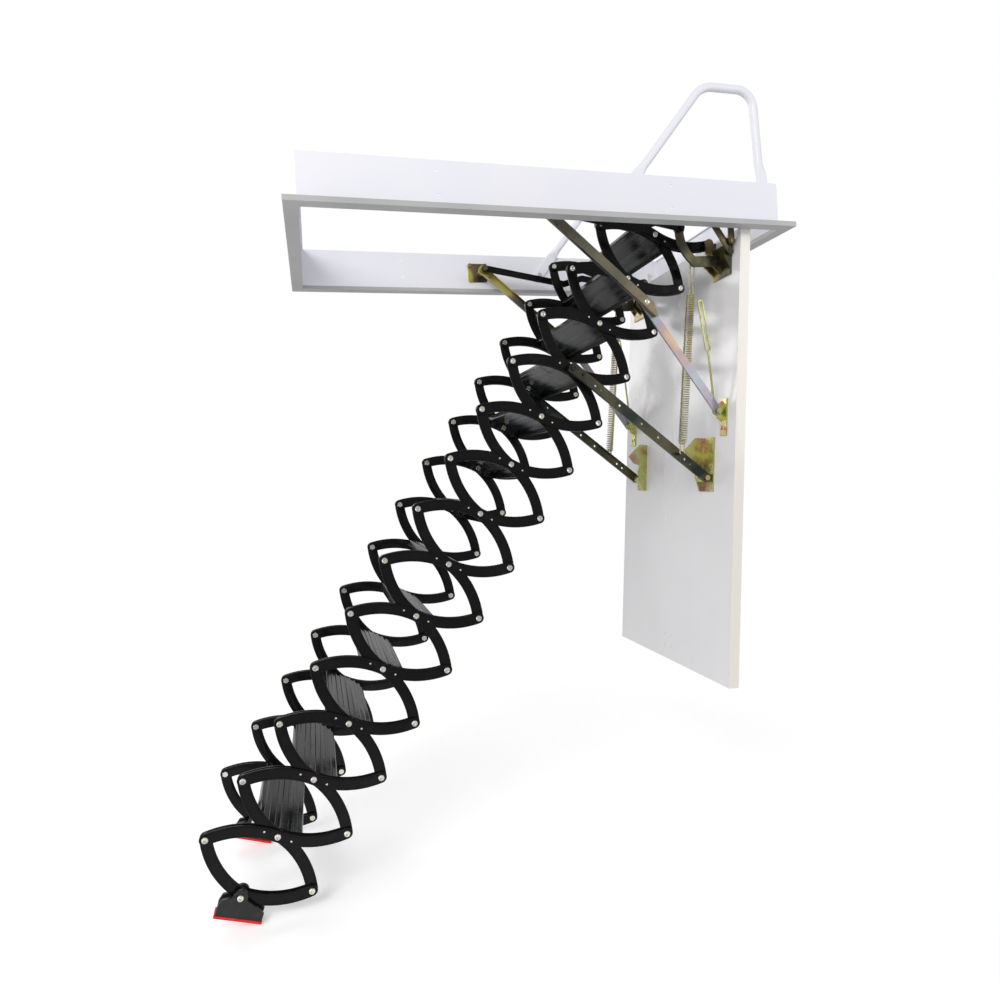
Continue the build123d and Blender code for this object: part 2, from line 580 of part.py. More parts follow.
def tread(k):
    """Folded sheet with ribs on top, a lip front and back and an ear at each end."""
    centre = crossing(k)
    along = tread_line(k)
    up = (-along[1], along[0])

    def at(a, b):
        return add(add(centre, along, a), up, b)

    half, top, under = TREAD_DEPTH / 2, TREAD_RISE + TREAD_SHEET, TREAD_RISE
    low = under - TREAD_LIP
    section = outline([at(-half, low), at(-half, top), at(half, top), at(half, low)])
    section -= outline(
        [
            at(-half + TREAD_SHEET, low - 1),
            at(-half + TREAD_SHEET, under),
            at(half - TREAD_SHEET, under),
            at(half - TREAD_SHEET, low - 1),
        ]
    )
    pitch = TREAD_DEPTH / (RIB_COUNT + 1)
    for i in range(RIB_COUNT):
        middle = -half + (i + 1) * pitch
        section += outline(
            [at(middle - 3, top - 0.5), at(middle + 3, top - 0.5), at(middle + 2, top + 1.2), at(middle - 2, top + 1.2)]
        )
    body = slab(section, -TREAD_HALF_WIDTH, TREAD_HALF_WIDTH)
    ear = outline([at(-half + 20, -13), at(-half + 12, under + 1), at(half - 12, under + 1), at(half - 20, -13)])
    screws = []
    for low_y, high_y in ((TREAD_HALF_WIDTH - TREAD_SHEET, TREAD_HALF_WIDTH), (-TREAD_HALF_WIDTH, -TREAD_HALF_WIDTH + TREAD_SHEET)):
        body += slab(ear, low_y, high_y)
    body -= rod(centre, BOLT_RADIUS, -TREAD_HALF_WIDTH - 1, TREAD_HALF_WIDTH + 1)
    for sign in (-1, 1):
        spot = at(sign * STUB_OFFSET, 0)
        screws.append(hex_bolt(spot, 5, TREAD_HALF_WIDTH - TREAD_SHEET - 3, TREAD_HALF_WIDTH - TREAD_SHEET))
    return [body] + both_sides(screws)


# --- feet ----------------------------------------------------------------------------------
def hung(solid):
    """Turns a level shoe or sole about the foot pivot to the angle at which it hangs."""
    x, z = crossing(TREADS)
    return Pos(x, 0, z) * Rot(0, FOOT_TILT, 0) * Pos(-x, 0, -z) * solid


def foot_shoe():
    """Moulded shoe: a wedge under the arms between two tall rounded cheeks."""
    x, z = crossing(TREADS)
    base = SOLE_THICKNESS - SOLE_DROP
    toe, heel, shelf = 3 - SHOE_TOE, SHOE_HEEL - 2, base + SHOE_SHELF

    def shape(points):
        return outline([(x + along, z + up) for along, up in points])

    wedge = [(toe, base), (heel, base), (heel - 2, base + 6), (12, shelf), (-30, shelf), (toe + 3, base + 9)]
    cheek = [(toe, base), (toe - 1, base + 19), (-40, -12), (-16, -2), (16, -4), (36, -14), (heel + 1, -30), (heel, base)]
    shoe = slab(shape(wedge), FOOT_INNER_Y, FOOT_OUTER_Y)
    for low, high in ((FOOT_INNER_Y, INNER_PLATE_Y - 0.5), (ARM_FACE_Y + 0.5, FOOT_OUTER_Y)):
        shoe += slab(shape(cheek) + disc((x, z), 17), low, high)
    shoe -= rod((x, z), BOLT_RADIUS + RUNNING_CLEARANCE, FOOT_INNER_Y - 1, FOOT_OUTER_Y + 1)
    return [hung(shoe)]


def foot_sole():
    x, z = crossing(TREADS)
    low = z - SOLE_DROP
    corners = [(x - SHOE_TOE, low), (x + SHOE_HEEL, low)]
    corners += [(cx, low + SOLE_THICKNESS) for cx, _ in reversed(corners)]
    return [hung(slab(outline(corners), FOOT_INNER_Y - 1.5, FOOT_OUTER_Y + 1.5))]


# --- write every sub-part --------------------------------------------------------------------
save("casing_walls", casing_walls())
save("trim_frame", trim_frame())
save("handrails", handrails())
save("casing_brackets", casing_brackets())
save("door_panel", door_panel())
save("hinge_brackets", hinge_brackets())
save("door_brackets", door_brackets())
save("stay_channels", stay_channels())
save("stay_straps", stay_straps())
save("hinge_straps_long", hinge_strap(HINGE_LONG, HINGE_REACH[0], HINGE_STRAP_Y))
save("hinge_straps_short", hinge_strap(HINGE_SHORT, HINGE_REACH[1], SHORT_STRAP_Y))
save("top_bars", top_bars())
save("levers", levers())
save("guide_arms", guide_arms())
save("springs", springs())
for index in range(TREADS):
    save(f"carrying_arm_{index + 1:02d}", carrying_arm(index))
    save(f"tread_{index + 1:02d}", tread(index))
    save(f"crossing_arm_{index + 1:02d}", crossing_arm(index))
save("crossing_arm_foot", crossing_arm(TREADS))
save("carrying_arm_foot", end_arm())
for side, place in (("front", lambda solids: solids), ("back", lambda solids: [mirror(s, Plane.XZ) for s in solids])):
    save(f"foot_{side}", place(foot_shoe()))
    save(f"sole_{side}", place(foot_sole()))
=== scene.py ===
"""Attic ladder with curved scissor arms, hung from the door of a ceiling hatch.

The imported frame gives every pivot. Arms, treads, springs, handrails and bolts are worked out here as
surfaces around it, and the sheet metal parts keep their frame meshes with softened edges.
Lengths are in metres. X runs along the hatch, Y across it and Z up from the ceiling.
"""

import json
import math

import bmesh
import bpy
import numpy as np
from bpy.props import FloatProperty, FloatVectorProperty, IntProperty, PointerProperty
from mathutils import Matrix, Vector


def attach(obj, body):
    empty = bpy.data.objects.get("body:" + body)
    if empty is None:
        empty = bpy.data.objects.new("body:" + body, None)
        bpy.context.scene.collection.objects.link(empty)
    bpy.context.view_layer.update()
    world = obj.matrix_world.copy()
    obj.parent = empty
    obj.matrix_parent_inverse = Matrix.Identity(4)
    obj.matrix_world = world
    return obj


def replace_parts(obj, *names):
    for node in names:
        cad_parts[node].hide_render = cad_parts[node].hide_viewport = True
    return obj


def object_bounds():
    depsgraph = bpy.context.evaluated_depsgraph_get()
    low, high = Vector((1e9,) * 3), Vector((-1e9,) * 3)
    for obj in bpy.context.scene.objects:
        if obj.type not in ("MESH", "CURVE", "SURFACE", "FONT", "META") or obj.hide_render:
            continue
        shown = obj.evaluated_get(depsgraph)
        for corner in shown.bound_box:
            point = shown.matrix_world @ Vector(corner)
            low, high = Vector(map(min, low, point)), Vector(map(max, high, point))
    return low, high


bl_info = {
    "name": "Attic Ladder",
    "version": (1, 0, 0),
    "blender": (4, 5, 0),
    "location": "View3D > Sidebar > Attic Ladder",
    "description": "Builds a scissor attic ladder and its stage around the packed frame",
    "category": "Object",
}

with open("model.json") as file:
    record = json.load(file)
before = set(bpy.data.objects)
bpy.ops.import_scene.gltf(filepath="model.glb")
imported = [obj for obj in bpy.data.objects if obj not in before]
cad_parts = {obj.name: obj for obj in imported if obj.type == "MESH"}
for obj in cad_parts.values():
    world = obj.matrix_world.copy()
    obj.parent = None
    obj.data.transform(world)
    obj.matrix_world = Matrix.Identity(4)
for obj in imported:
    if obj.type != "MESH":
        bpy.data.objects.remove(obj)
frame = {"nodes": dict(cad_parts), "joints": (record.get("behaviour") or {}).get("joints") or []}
CAD_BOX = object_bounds()

# --- what the frame says ------------------------------------------------------------------
TREADS = sum(1 for node in frame["nodes"] if node.startswith("tread_"))
PIVOTS = {joint["name"]: np.array(joint["pos_m"])[[0, 2]] for joint in frame["joints"]}
CROSSINGS = [PIVOTS["crossing_swing_01"]]
CROSSINGS += [PIVOTS[f"carrying_swing_{k:02d}"] for k in range(2, TREADS + 1)]
CROSSINGS += [PIVOTS["carrying_swing_foot"]]
LEFT = [PIVOTS[f"crossing_swing_{k:02d}"] for k in range(2, TREADS + 1)]
LEFT += [PIVOTS["crossing_swing_foot"]]
RIGHT = [CROSSINGS[k] + CROSSINGS[k + 1] - LEFT[k] for k in range(TREADS)]
TOP_PIVOT = PIVOTS["carrying_swing_01"]
ALONG = (CROSSINGS[1] - CROSSINGS[0]) / np.linalg.norm(CROSSINGS[1] - CROSSINGS[0])
ACROSS = np.array([-ALONG[1], ALONG[0]])
LEVER_KNEE = PIVOTS["spring_swing"]

# --- sizes shared with the frame ------------------------------------------------------------
ARC_HALF_ANGLE = math.radians(22)
ARM_ANGLE = math.radians(28.02)  # from the line across the ladder to an arm's pivots
TREAD_TURN = ARM_ANGLE - ARC_HALF_ANGLE
TREAD_LINE = ACROSS * math.cos(TREAD_TURN) - ALONG * math.sin(TREAD_TURN)
if TREAD_LINE[0] < 0:
    TREAD_LINE = -ACROSS * math.cos(TREAD_TURN) - ALONG * math.sin(TREAD_TURN)
TREAD_UP = np.array([-TREAD_LINE[1], TREAD_LINE[0]])
INNER_PLATE = (0.1755, 0.1800)
MIDDLE_PLATE = (0.1805, 0.1860)
OUTER_PLATE = (0.1865, 0.1910)
BOSS_RADIUS = 0.0138
HEAD_RADIUS = 0.0075
HEAD_HEIGHT = 0.0045
NUT_RADIUS = 0.008
NUT_HEIGHT = 0.004
FACE_GAP = 0.0005
STUB_OFFSET = 0.034
STUB_HEAD = (0.0024, 0.0012)  # radius and height of the small screws beside a centre bolt
TREAD_HALF_WIDTH = 0.175
TREAD_SHEET = 0.003
TREAD_DEPTH = 0.116
TREAD_LIP = 0.018
TREAD_RISE = 0.010
TREAD_ROLL = 0.006
EAR_TOP_INSET = 0.012
EAR_FOOT_INSET = 0.020
EAR_FOOT = -0.013
SPRING_Y = 0.233
SPRING_FOOT = np.array([0.346, -0.590])
COIL_START = 0.086
COIL_LENGTH = 0.404
COIL_RADIUS = 0.0120
HANGER_HALF_WIDTH = 0.0058
HANGER_WIRE_RADIUS = 0.0018
HANGER_OVERLAP = 0.004
RAIL_POINTS = np.array([(0.169, 0.057), (0.409, 0.352), (0.560, 0.354), (0.574, 0.066)])
RAIL_BENDS = (0.070, 0.048)
RAIL_RADIUS = 0.0105
RAIL_FOOT = 0.038
RAIL_FOOT_HALF_WIDTH = 0.016
RAIL_FOOT_HALF_DEPTH = 0.003
RAIL_FLAT_LENGTH = (0.098, 0.140)  # pressed flat up to the first, round from the second
RAIL_WALL = 0.320
RAIL_NUT_DROPS = (0.011, 0.026)  # along the leg, beyond the end point of RAIL_POINTS
RAIL_NUT_HEIGHT = 0.0055
RAIL_NUT_RADIUS = 0.007
RAIL_NUT_Y = RAIL_WALL - 0.011
FOOT_INNER = 0.1665
FOOT_OUTER = 0.2005
STAY_ELBOW = (0.240, -0.197)
CHANNEL_FACE = 0.280
RIVET_DOME = ((0.0075, -0.0004), (0.0075, 0.0010), (0.0062, 0.0026), (0.0036, 0.0036), (0.0008, 0.0038))
# each hinge strap's pin on the door, its two faces across the hatch, and the height of its nuts
HINGE_BARS = {
    "long": ((0.488, -0.060), (0.284, 0.289), 0.0016),
    "short": ((0.488, -0.036), (0.291, 0.296), 0.004),
}
HINGE_BAR_HALF_WIDTH = 0.009
HINGE_NUT_RADIUS = 0.0075

# --- camera, lights and floor -------------------------------------------------------------------
EYE = (-0.6118, -1.8550, -0.6195)
EYE_YAW, EYE_PITCH, EYE_ROLL = (math.radians(a) for a in (15.2405, -1.1065, 3.1396))
SENSOR = 36.0  # millimetres, as is the lens
LENS = 24.26904
LENS_SHIFT = (0.00128, -0.01255)
# each light's place, the point it faces, its width and height, its power and its tint
LIGHTS = {
    "key": ((-2.6, -3.2, 1.6), (0.1, 0, -0.6), (2.0, 2.0), 92, (1.0, 0.99, 0.98)),
    "fill": ((2.8, -2.4, 0.2), (0.2, 0, -0.6), (1.6, 1.6), 26, (0.95, 0.97, 1.0)),
    "low": ((-2.4, -0.6, -1.1), (0.0, 0, -0.7), (1.0, 1.6), 12, (1, 1, 1)),
    "back": ((-1.6, 2.8, 0.8), (0.0, 0, -0.6), (2.0, 1.4), 34, (1, 1, 1)),
}
AMBIENT_STRENGTH = 0.50
FLOOR_HALF_SIZE = 6.0
FLOOR_LINES = 61
FLOOR_DROP = 0.0005
FLOOR_FADE = (0.5, 1.5)  # distances from its centre where the floor starts and ends fading out
FLOOR_CENTRE_X = -0.3
SHARP_ANGLE = math.radians(32)


# --- meshes -------------------------------------------------------------------------------------
def grid(points, close_rows=False, close_columns=False):
    """Quads over (rows, columns, 3) points; closing joins the last row or column to the first."""
    rows, columns = points.shape[:2]
    i = np.arange(rows if close_rows else rows - 1)[:, None]
    j = np.arange(columns if close_columns else columns - 1)[None, :]
    i2, j2 = (i + 1) % rows, (j + 1) % columns
    corners = [i * columns + j, i * columns + j2, i2 * columns + j2, i2 * columns + j]
    return points.reshape(-1, 3), [np.stack(np.broadcast_arrays(*corners), -1).reshape(-1, 4)]


def tube(rings, closed=False):
    """Closed loops (rows, columns, 3) joined into a tube, with a flat face at each end unless closed."""
    points, faces = grid(rings, close_rows=closed, close_columns=True)
    if not closed:
        columns, total = rings.shape[1], len(points)
        faces += [np.arange(columns)[None, ::-1], np.arange(total - columns, total)[None, :]]
    return points, faces


def join(parts):
    """Several meshes as one list of points and faces."""
    points, faces, start = [], [], 0
    for part_points, part_faces in parts:
        points.append(part_points)
        faces += [block + start for block in part_faces]
        start += len(part_points)
    return np.concatenate(points), faces


def mirrored(part):
    """The part and its mirror image in the plane Y = 0, with the mirror's faces turned to point outwards."""
    points, faces = part
    return join([part, (points * (1, -1, 1), [block[:, ::-1] for block in faces])])


def in_xz(plane_points, y):
    """Points given as (x, z) placed at distance y across the hatch."""
    plane_points, y = np.asarray(plane_points, float), np.asarray(y, float)
    y = np.broadcast_to(y, plane_points.shape[:-1])
    return np.stack([plane_points[..., 0], y, plane_points[..., 1]], -1)


def place(name, part, body, material, sharp=SHARP_ANGLE):
    """Makes an object at the origin from points and faces, outward facing, that rides on a body."""
    points, faces = part
    mesh = bpy.data.meshes.new(name)
    sizes = np.concatenate([np.full(len(block), block.shape[1]) for block in faces])
    corners = np.concatenate([block.ravel() for block in faces])
    mesh.vertices.add(len(points))
    mesh.vertices.foreach_set("co", np.asarray(points, np.float32).ravel())
    mesh.loops.add(len(corners))
    mesh.loops.foreach_set("vertex_index", corners.astype(np.int32))
    mesh.polygons.add(len(sizes))
    mesh.polygons.foreach_set("loop_start", (np.cumsum(sizes) - sizes).astype(np.int32))
    mesh.update(calc_edges=True)
    face_outwards(mesh)
    mesh.shade_smooth()
    mesh.set_sharp_from_angle(angle=sharp)
    mesh.materials.append(material)
    piece = bpy.data.objects.new(name, mesh)
    bpy.context.scene.collection.objects.link(piece)
    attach(piece, body)
    return piece


def face_outwards(mesh):
    """Merges doubled points and turns every face of each closed shell outwards."""
    shape = bmesh.new()
    shape.from_mesh(mesh)
    bmesh.ops.remove_doubles(shape, verts=shape.verts, dist=2e-6)
    bmesh.ops.recalc_face_normals(shape, faces=shape.faces)
    shape.to_mesh(mesh)
    shape.free()


# --- shapes that the ladder is made of ----------------------------------------------------------
def arc_line(start, end, bulge, count=15):
    """Arc from start to end in XZ that bows towards bulge, and its side direction.

    At t from 0 to 1 the turn is a(2t-1), a being half the arc's angle. With r = chord / (2 sin a), the point
    lies r(sin turn + sin a) along the chord and r(cos turn - cos a) to the side.
    """
    start, end = np.asarray(start), np.asarray(end)
    chord = end - start
    length = np.linalg.norm(chord)
    chord = chord / length
    side = np.array([-chord[1], chord[0]])
    side *= np.sign(np.dot(side, bulge))
    turn = ARC_HALF_ANGLE * (2 * np.linspace(0, 1, count) - 1)
    radius = length / (2 * math.sin(ARC_HALF_ANGLE))
    along = radius * (np.sin(turn) + math.sin(ARC_HALF_ANGLE))
    out = radius * (np.cos(turn) - math.cos(ARC_HALF_ANGLE))
    line = start + along[:, None] * chord + out[:, None] * side
    tangent = np.cos(turn)[:, None] * chord - np.sin(turn)[:, None] * side
    return line, np.stack([-tangent[:, 1], tangent[:, 0]], -1)


def chain(*lines):
    """Arcs that follow one another, as one line without doubled points."""
    points = np.concatenate([lines[0][0]] + [line[0][1:] for line in lines[1:]])
    sides = np.concatenate([lines[0][1]] + [line[1][1:] for line in lines[1:]])
    return points, sides


def outline(line, half_width, count=13):
    """Closed outline at one distance from a line: its left side, a round end, its right side, a round end.

    A round end is the end point plus half_width times (side cos q + ahead sin q), q going from 0 to pi.
    """
    points, sides = line
    q = np.linspace(0, math.pi, count)[1:-1, None]
    ahead = np.array([sides[-1][1], -sides[-1][0]])
    behind = -np.array([sides[0][1], -sides[0][0]])
    last = points[-1] + half_width * (np.cos(q) * sides[-1] + np.sin(q) * ahead)
    first = points[0] + half_width * (-np.cos(q) * sides[0] + np.sin(q) * behind)
    return np.concatenate([points + half_width * sides, last, (points - half_width * sides)[::-1], first])


def plate(line, low, high, half_width=BOSS_RADIUS, grooved=True):
    """Flat bar along a line, between two distances across the ladder, low being the inner one.

    Each level is the outline drawn in by an inset i at a depth d from the outer face. A rounded edge of
    radius r has d = r - sqrt(r^2 - (r - i)^2), and a fine groove runs just inside the edge.
    """
    r = min(0.0014, (high - low) * 0.3)
    inset = r * (1 - np.sin(np.linspace(0, math.pi / 2, 4)))
    depth = r * (1 - np.cos(np.linspace(0, math.pi / 2, 4)))
    levels = [(0.0052, 0), (0.0049, 0.0004), (0.0041, 0.0004), (0.0038, 0)] if grooved else []
    levels += list(zip(inset, depth))
    levels += [(i, high - low - d) for i, d in reversed(list(zip(inset, depth)))]
    rings = [in_xz(outline(line, half_width - i), high - d) for i, d in levels]
    return tube(np.stack(rings))


def lathe(centre, levels, sides=24, hexed=()):
    """Turned or six-sided solid about an axis along Y through centre (x, z).

    A level is (radius, y). On a level listed in hexed, the radius at angle q is that of a hexagon:
    radius cos(30) / cos(((q + 30) mod 60) - 30), all in degrees.
    """
    q = np.linspace(0, 2 * math.pi, sides, endpoint=False)
    sixth = math.pi / 3
    hexagon = math.cos(sixth / 2) / np.cos((q + sixth / 2) % sixth - sixth / 2)
    rings = []
    for index, (radius, y) in enumerate(levels):
        reach = radius * (hexagon if index in hexed else np.ones(sides))
        rings.append(in_xz(centre + reach[:, None] * np.stack([np.cos(q), np.sin(q)], -1), y))
    return tube(np.stack(rings))


def socket_bolt(centre, y, radius=HEAD_RADIUS, height=HEAD_HEIGHT):
    """Button head on a face at distance y, with a six-sided socket."""
    socket = radius * 0.50
    levels = [
        (radius, y - 0.0004),
        (radius, y + height * 0.55),
        (radius * 0.93, y + height * 0.82),
        (radius * 0.80, y + height),
        (socket * 1.12, y + height),
        (socket, y + height * 0.93),
        (socket, y + height * 0.35),
        (socket * 0.1, y + height * 0.25),
    ]
    return lathe(centre, levels, hexed=(5, 6))


def hexagon_nut(centre, y, height, radius=NUT_RADIUS):
    """Six-sided nut whose two faces are chamfered, between y and y + height."""
    chamfered = radius * 0.86
    corner = height * 0.16
    levels = [(chamfered, y), (radius, y + corner), (radius, y + height - corner), (chamfered, y + height)]
    return lathe(centre, levels, hexed=(1, 2))


def wire(line, radius, across, sides=10, closed=False):
    """Round wire along a line of points; across is a direction beside the line, square to it at every point.

    The ring's point at angle q is line + radius (across cos q + b sin q), b being tangent times across.
    """
    if closed:
        tangent = np.roll(line, -1, 0) - np.roll(line, 1, 0)
    else:
        tangent = np.gradient(line, axis=0)
    tangent /= np.linalg.norm(tangent, axis=1, keepdims=True)
    across = np.broadcast_to(across, line.shape)
    across = across - tangent * np.sum(tangent * across, axis=1, keepdims=True)
    across = across / np.linalg.norm(across, axis=1, keepdims=True)
    other = np.cross(tangent, across)
    q = np.linspace(0, 2 * math.pi, sides, endpoint=False)[None, :, None]
    radius = np.broadcast_to(radius, (len(line),))[:, None, None]
    return tube(line[:, None] + radius * (across[:, None] * np.cos(q) + other[:, None] * np.sin(q)), closed)


def bent_line(corners, bends, spacing=0.004):
    """Straight runs through corners (x, z) with an arc of the given radius at each inner corner.

    The arc starts r tan(turn / 2) before the corner. Its points are the two arms of the corner mixed by the
    sine rule: centre + r (n1 sin((1-t) turn) + n2 sin(t turn)) / sin(turn).
    """
    pieces = [corners[:1]]
    for index, radius in enumerate(bends, start=1):
        before, corner, after = corners[index - 1 : index + 2]
        into = (corner - before) / np.linalg.norm(corner - before)
        out = (after - corner) / np.linalg.norm(after - corner)
        turn = math.acos(np.clip(np.dot(into, out), -1, 1))
        reach = radius * math.tan(turn / 2)
        start, end = corner - reach * into, corner + reach * out
        inward = np.array([-into[1], into[0]]) * np.sign(into[0] * out[1] - into[1] * out[0])
        centre = start + radius * inward
        t = np.linspace(0, 1, 60)[:, None]
        arms = (start - centre) * np.sin((1 - t) * turn) + (end - centre) * np.sin(t * turn)
        pieces.append(centre + arms / math.sin(turn))
    pieces.append(corners[-1:])
    rough = np.concatenate(pieces)
    distance = np.concatenate([[0], np.cumsum(np.linalg.norm(np.diff(rough, axis=0), axis=1))])
    even = np.linspace(0, distance[-1], int(distance[-1] / spacing))
    return np.stack([np.interp(even, distance, rough[:, axis]) for axis in (0, 1)], -1), even


# --- settings --------------------------------------------------------------------------------------
class LadderArmSettings(bpy.types.PropertyGroup):
    half_width: FloatProperty(
        name="Arm half width", description="Half the width of an arm", default=BOSS_RADIUS, unit="LENGTH"
    )
    coil_turns: IntProperty(name="Spring turns", description="Turns of each door spring", default=66, min=8)
    coil_wire: FloatProperty(
        name="Spring wire", description="Thickness of the spring wire", default=0.0036, unit="LENGTH"
    )
    rib_count: IntProperty(name="Tread ribs", description="Ribs along a tread's top", default=7, min=1)
    rib_height: FloatProperty(name="Rib height", description="Height of a rib", default=0.0019, unit="LENGTH")
    edge_round: FloatProperty(
        name="Sheet edge", description="Softening of cut sheet edges", default=0.0005, unit="LENGTH"
    )


def colour(name, description, default):
    """Colour property with the name and description shown in the panel."""
    return FloatVectorProperty(
        name=name, description=description, default=default, size=3, min=0.0, max=1.0, subtype="COLOR"
    )


class LadderFinishSettings(bpy.types.PropertyGroup):
    casing: colour("Casing", "Powder coat of the casing and handrails", (0.89, 0.89, 0.945))
    trim: colour("Trim", "Silver paint of the trim frame", (0.50, 0.50, 0.505))
    door: colour("Door", "Lacquer of the door board", (0.74, 0.73, 0.745))
    door_edge: colour("Door edge", "Edging of the door board", (0.86, 0.82, 0.76))
    arms: colour("Arms", "Black of the scissor arms", (0.0045, 0.0045, 0.0048))
    treads: colour("Treads", "Black of the treads", (0.0075, 0.0085, 0.010))
    shoes: colour("Shoes", "Moulding of the feet", (0.010, 0.010, 0.010))
    soles: colour("Soles", "Rubber under the feet", (0.58, 0.022, 0.018))


# --- material groups ---------------------------------------------------------------------------------
def shader_group(name, inputs, outputs):
    """Empty node group with named sockets; inputs and outputs are (name, kind, value)."""
    tree = bpy.data.node_groups.new(name, "ShaderNodeTree")
    for (label, kind, value), side in [(i, "INPUT") for i in inputs] + [(o, "OUTPUT") for o in outputs]:
        socket = tree.interface.new_socket(name=label, in_out=side, socket_type=f"NodeSocket{kind}")
        if value is not None:
            socket.default_value = value
    return tree, tree.nodes.new("NodeGroupInput"), tree.nodes.new("NodeGroupOutput")


def add_node(tree, kind, values=(), links=(), **settings):
    """Adds a node, sets its sockets and properties, and links other sockets into it."""
    node = tree.nodes.new(kind)
    for key, value in settings.items():
        setattr(node, key, value)
    for socket, value in values:
        node.inputs[socket].default_value = value
    for socket, source in links:
        tree.links.new(source, node.inputs[socket])
    return node


def noise(tree, vector, scale, detail=3.0, roughness=0.55, distortion=0.0):
    """Noise from 0 to 1; any value may be a plain number or another node's socket."""
    settings = {"Vector": vector, "Scale": scale, "Detail": detail}
    settings |= {"Roughness": roughness, "Distortion": distortion}
    linked = [item for item in settings.items() if isinstance(item[1], bpy.types.NodeSocket)]
    plain = [item for item in settings.items() if item not in linked]
    return add_node(tree, "ShaderNodeTexNoise", plain, linked).outputs["Fac"]


def ramp(tree, source, stops):
    """Colour ramp through stops of (position, colour)."""
    node = add_node(tree, "ShaderNodeValToRGB", links=[("Fac", source)])
    elements = node.color_ramp.elements
    elements[0].position, elements[1].position = stops[0][0], stops[-1][0]
    for position, _ in stops[1:-1]:
        elements.new(position)
    for element, (_, value) in zip(elements, stops):
        element.color = (*value, 1)
    return node.outputs["Color"]


def between(tree, source, low, high, from_low=0.0, from_high=1.0):
    """Value moved from one range to another, held inside it."""
    values = [("From Min", from_low), ("From Max", from_high), ("To Min", low), ("To Max", high)]
    return add_node(tree, "ShaderNodeMapRange", values, [("Value", source)]).outputs["Result"]


def mixed(tree, factor, first, second):
    """Colour between two colours or sockets."""
    node = add_node(tree, "ShaderNodeMix", data_type="RGBA", clamp_factor=True)
    for index, value in ((0, factor), (6, first), (7, second)):
        if isinstance(value, bpy.types.NodeSocket):
            tree.links.new(value, node.inputs[index])
        elif index:
            node.inputs[index].default_value = (*value, 1)
        else:
            node.inputs[index].default_value = value
    return node.outputs[2]


def make_marks_group():
    """Fine grain and handling marks. Grain is even noise; Marks are the peaks of a stretched, bent noise."""
    tree, given, result = shader_group(
        "surface_marks",
        [
            ("Vector", "Vector", None),
            ("Grain Scale", "Float", 900.0),
            ("Mark Scale", "Float", 12.0),
            ("Mark Detail", "Float", 6.0),
        ],
        [("Grain", "Float", None), ("Marks", "Float", None), ("Clouds", "Float", None)],
    )
    vector, mark_scale = given.outputs["Vector"], given.outputs["Mark Scale"]
    grain = noise(tree, vector, given.outputs["Grain Scale"], 2.0)
    marks = noise(tree, vector, mark_scale, given.outputs["Mark Detail"], 0.65, 0.8)
    clouds = noise(tree, vector, mark_scale, 2.0, 0.4)
    tree.links.new(grain, result.inputs["Grain"])
    tree.links.new(between(tree, marks, 0.0, 1.0, 0.52, 0.66), result.inputs["Marks"])
    tree.links.new(between(tree, clouds, 0.0, 1.0, 0.35, 0.65), result.inputs["Clouds"])
    return tree


def make_film_group():
    """Colours of yellow zinc plate: smooth noise, moved by Shift, read through a ramp of film colours."""
    tree, given, result = shader_group(
        "zinc_film",
        [
            ("Vector", "Vector", None),
            ("Scale", "Float", 9.0),
            ("Shift", "Float", 0.0),
            ("Spread", "Float", 1.0),
        ],
        [("Color", "Color", None), ("Dull", "Float", None)],
    )
    slow = noise(tree, given.outputs["Vector"], given.outputs["Scale"], 2.5, 0.5, 0.6)
    centred = add_node(tree, "ShaderNodeMath", [(1, 0.5)], [(0, slow)], operation="SUBTRACT").outputs[0]
    links = [(0, centred), (1, given.outputs["Spread"])]
    spread = add_node(tree, "ShaderNodeMath", links=links, operation="MULTIPLY").outputs[0]
    links = [(0, spread), (1, given.outputs["Shift"])]
    place_on = add_node(tree, "ShaderNodeMath", links=links, operation="ADD").outputs[0]
    film = [
        (0.00, (0.035, 0.045, 0.040)),
        (0.16, (0.110, 0.100, 0.060)),
        (0.30, (0.230, 0.180, 0.095)),
        (0.40, (0.560, 0.480, 0.130)),
        (0.48, (0.500, 0.600, 0.150)),
        (0.58, (0.560, 0.360, 0.190)),
        (0.68, (0.390, 0.240, 0.220)),
        (0.80, (0.290, 0.250, 0.340)),
        (0.90, (0.260, 0.320, 0.370)),
        (1.00, (0.230, 0.310, 0.270)),
    ]
    tree.links.new(ramp(tree, place_on, film), result.inputs["Color"])
    dull = noise(tree, given.outputs["Vector"], 60.0, 5.0, 0.6)
    tree.links.new(between(tree, dull, 0.0, 1.0, 0.35, 0.7), result.inputs["Dull"])
    return tree


def start_material(name, roughness, metallic=0.0, specular=0.5):
    """Material with its shader and a vector in Object coordinates, both returned with it."""
    material = bpy.data.materials.new(name)
    material.use_nodes = True
    tree = material.node_tree
    shader = tree.nodes["Principled BSDF"]
    shader.inputs["Roughness"].default_value = roughness
    shader.inputs["Metallic"].default_value = metallic
    shader.inputs["Specular IOR Level"].default_value = specular
    where = tree.nodes.new("ShaderNodeTexCoord")
    return material, tree, shader, where.outputs["Object"]


def stretched(tree, vector, scale, turn=(0, 0, 0)):
    """Vector scaled unevenly by a Mapping node, for patterns longer one way than another."""
    values = [("Scale", scale), ("Rotation", turn)]
    return add_node(tree, "ShaderNodeMapping", values, [("Vector", vector)]).outputs["Vector"]


def bumped(tree, shader, height, strength, distance):
    """Tilts the shader's normal by a height pattern."""
    values = [("Strength", strength), ("Distance", distance)]
    bump = add_node(tree, "ShaderNodeBump", values, [("Height", height)])
    tree.links.new(bump.outputs["Normal"], shader.inputs["Normal"])


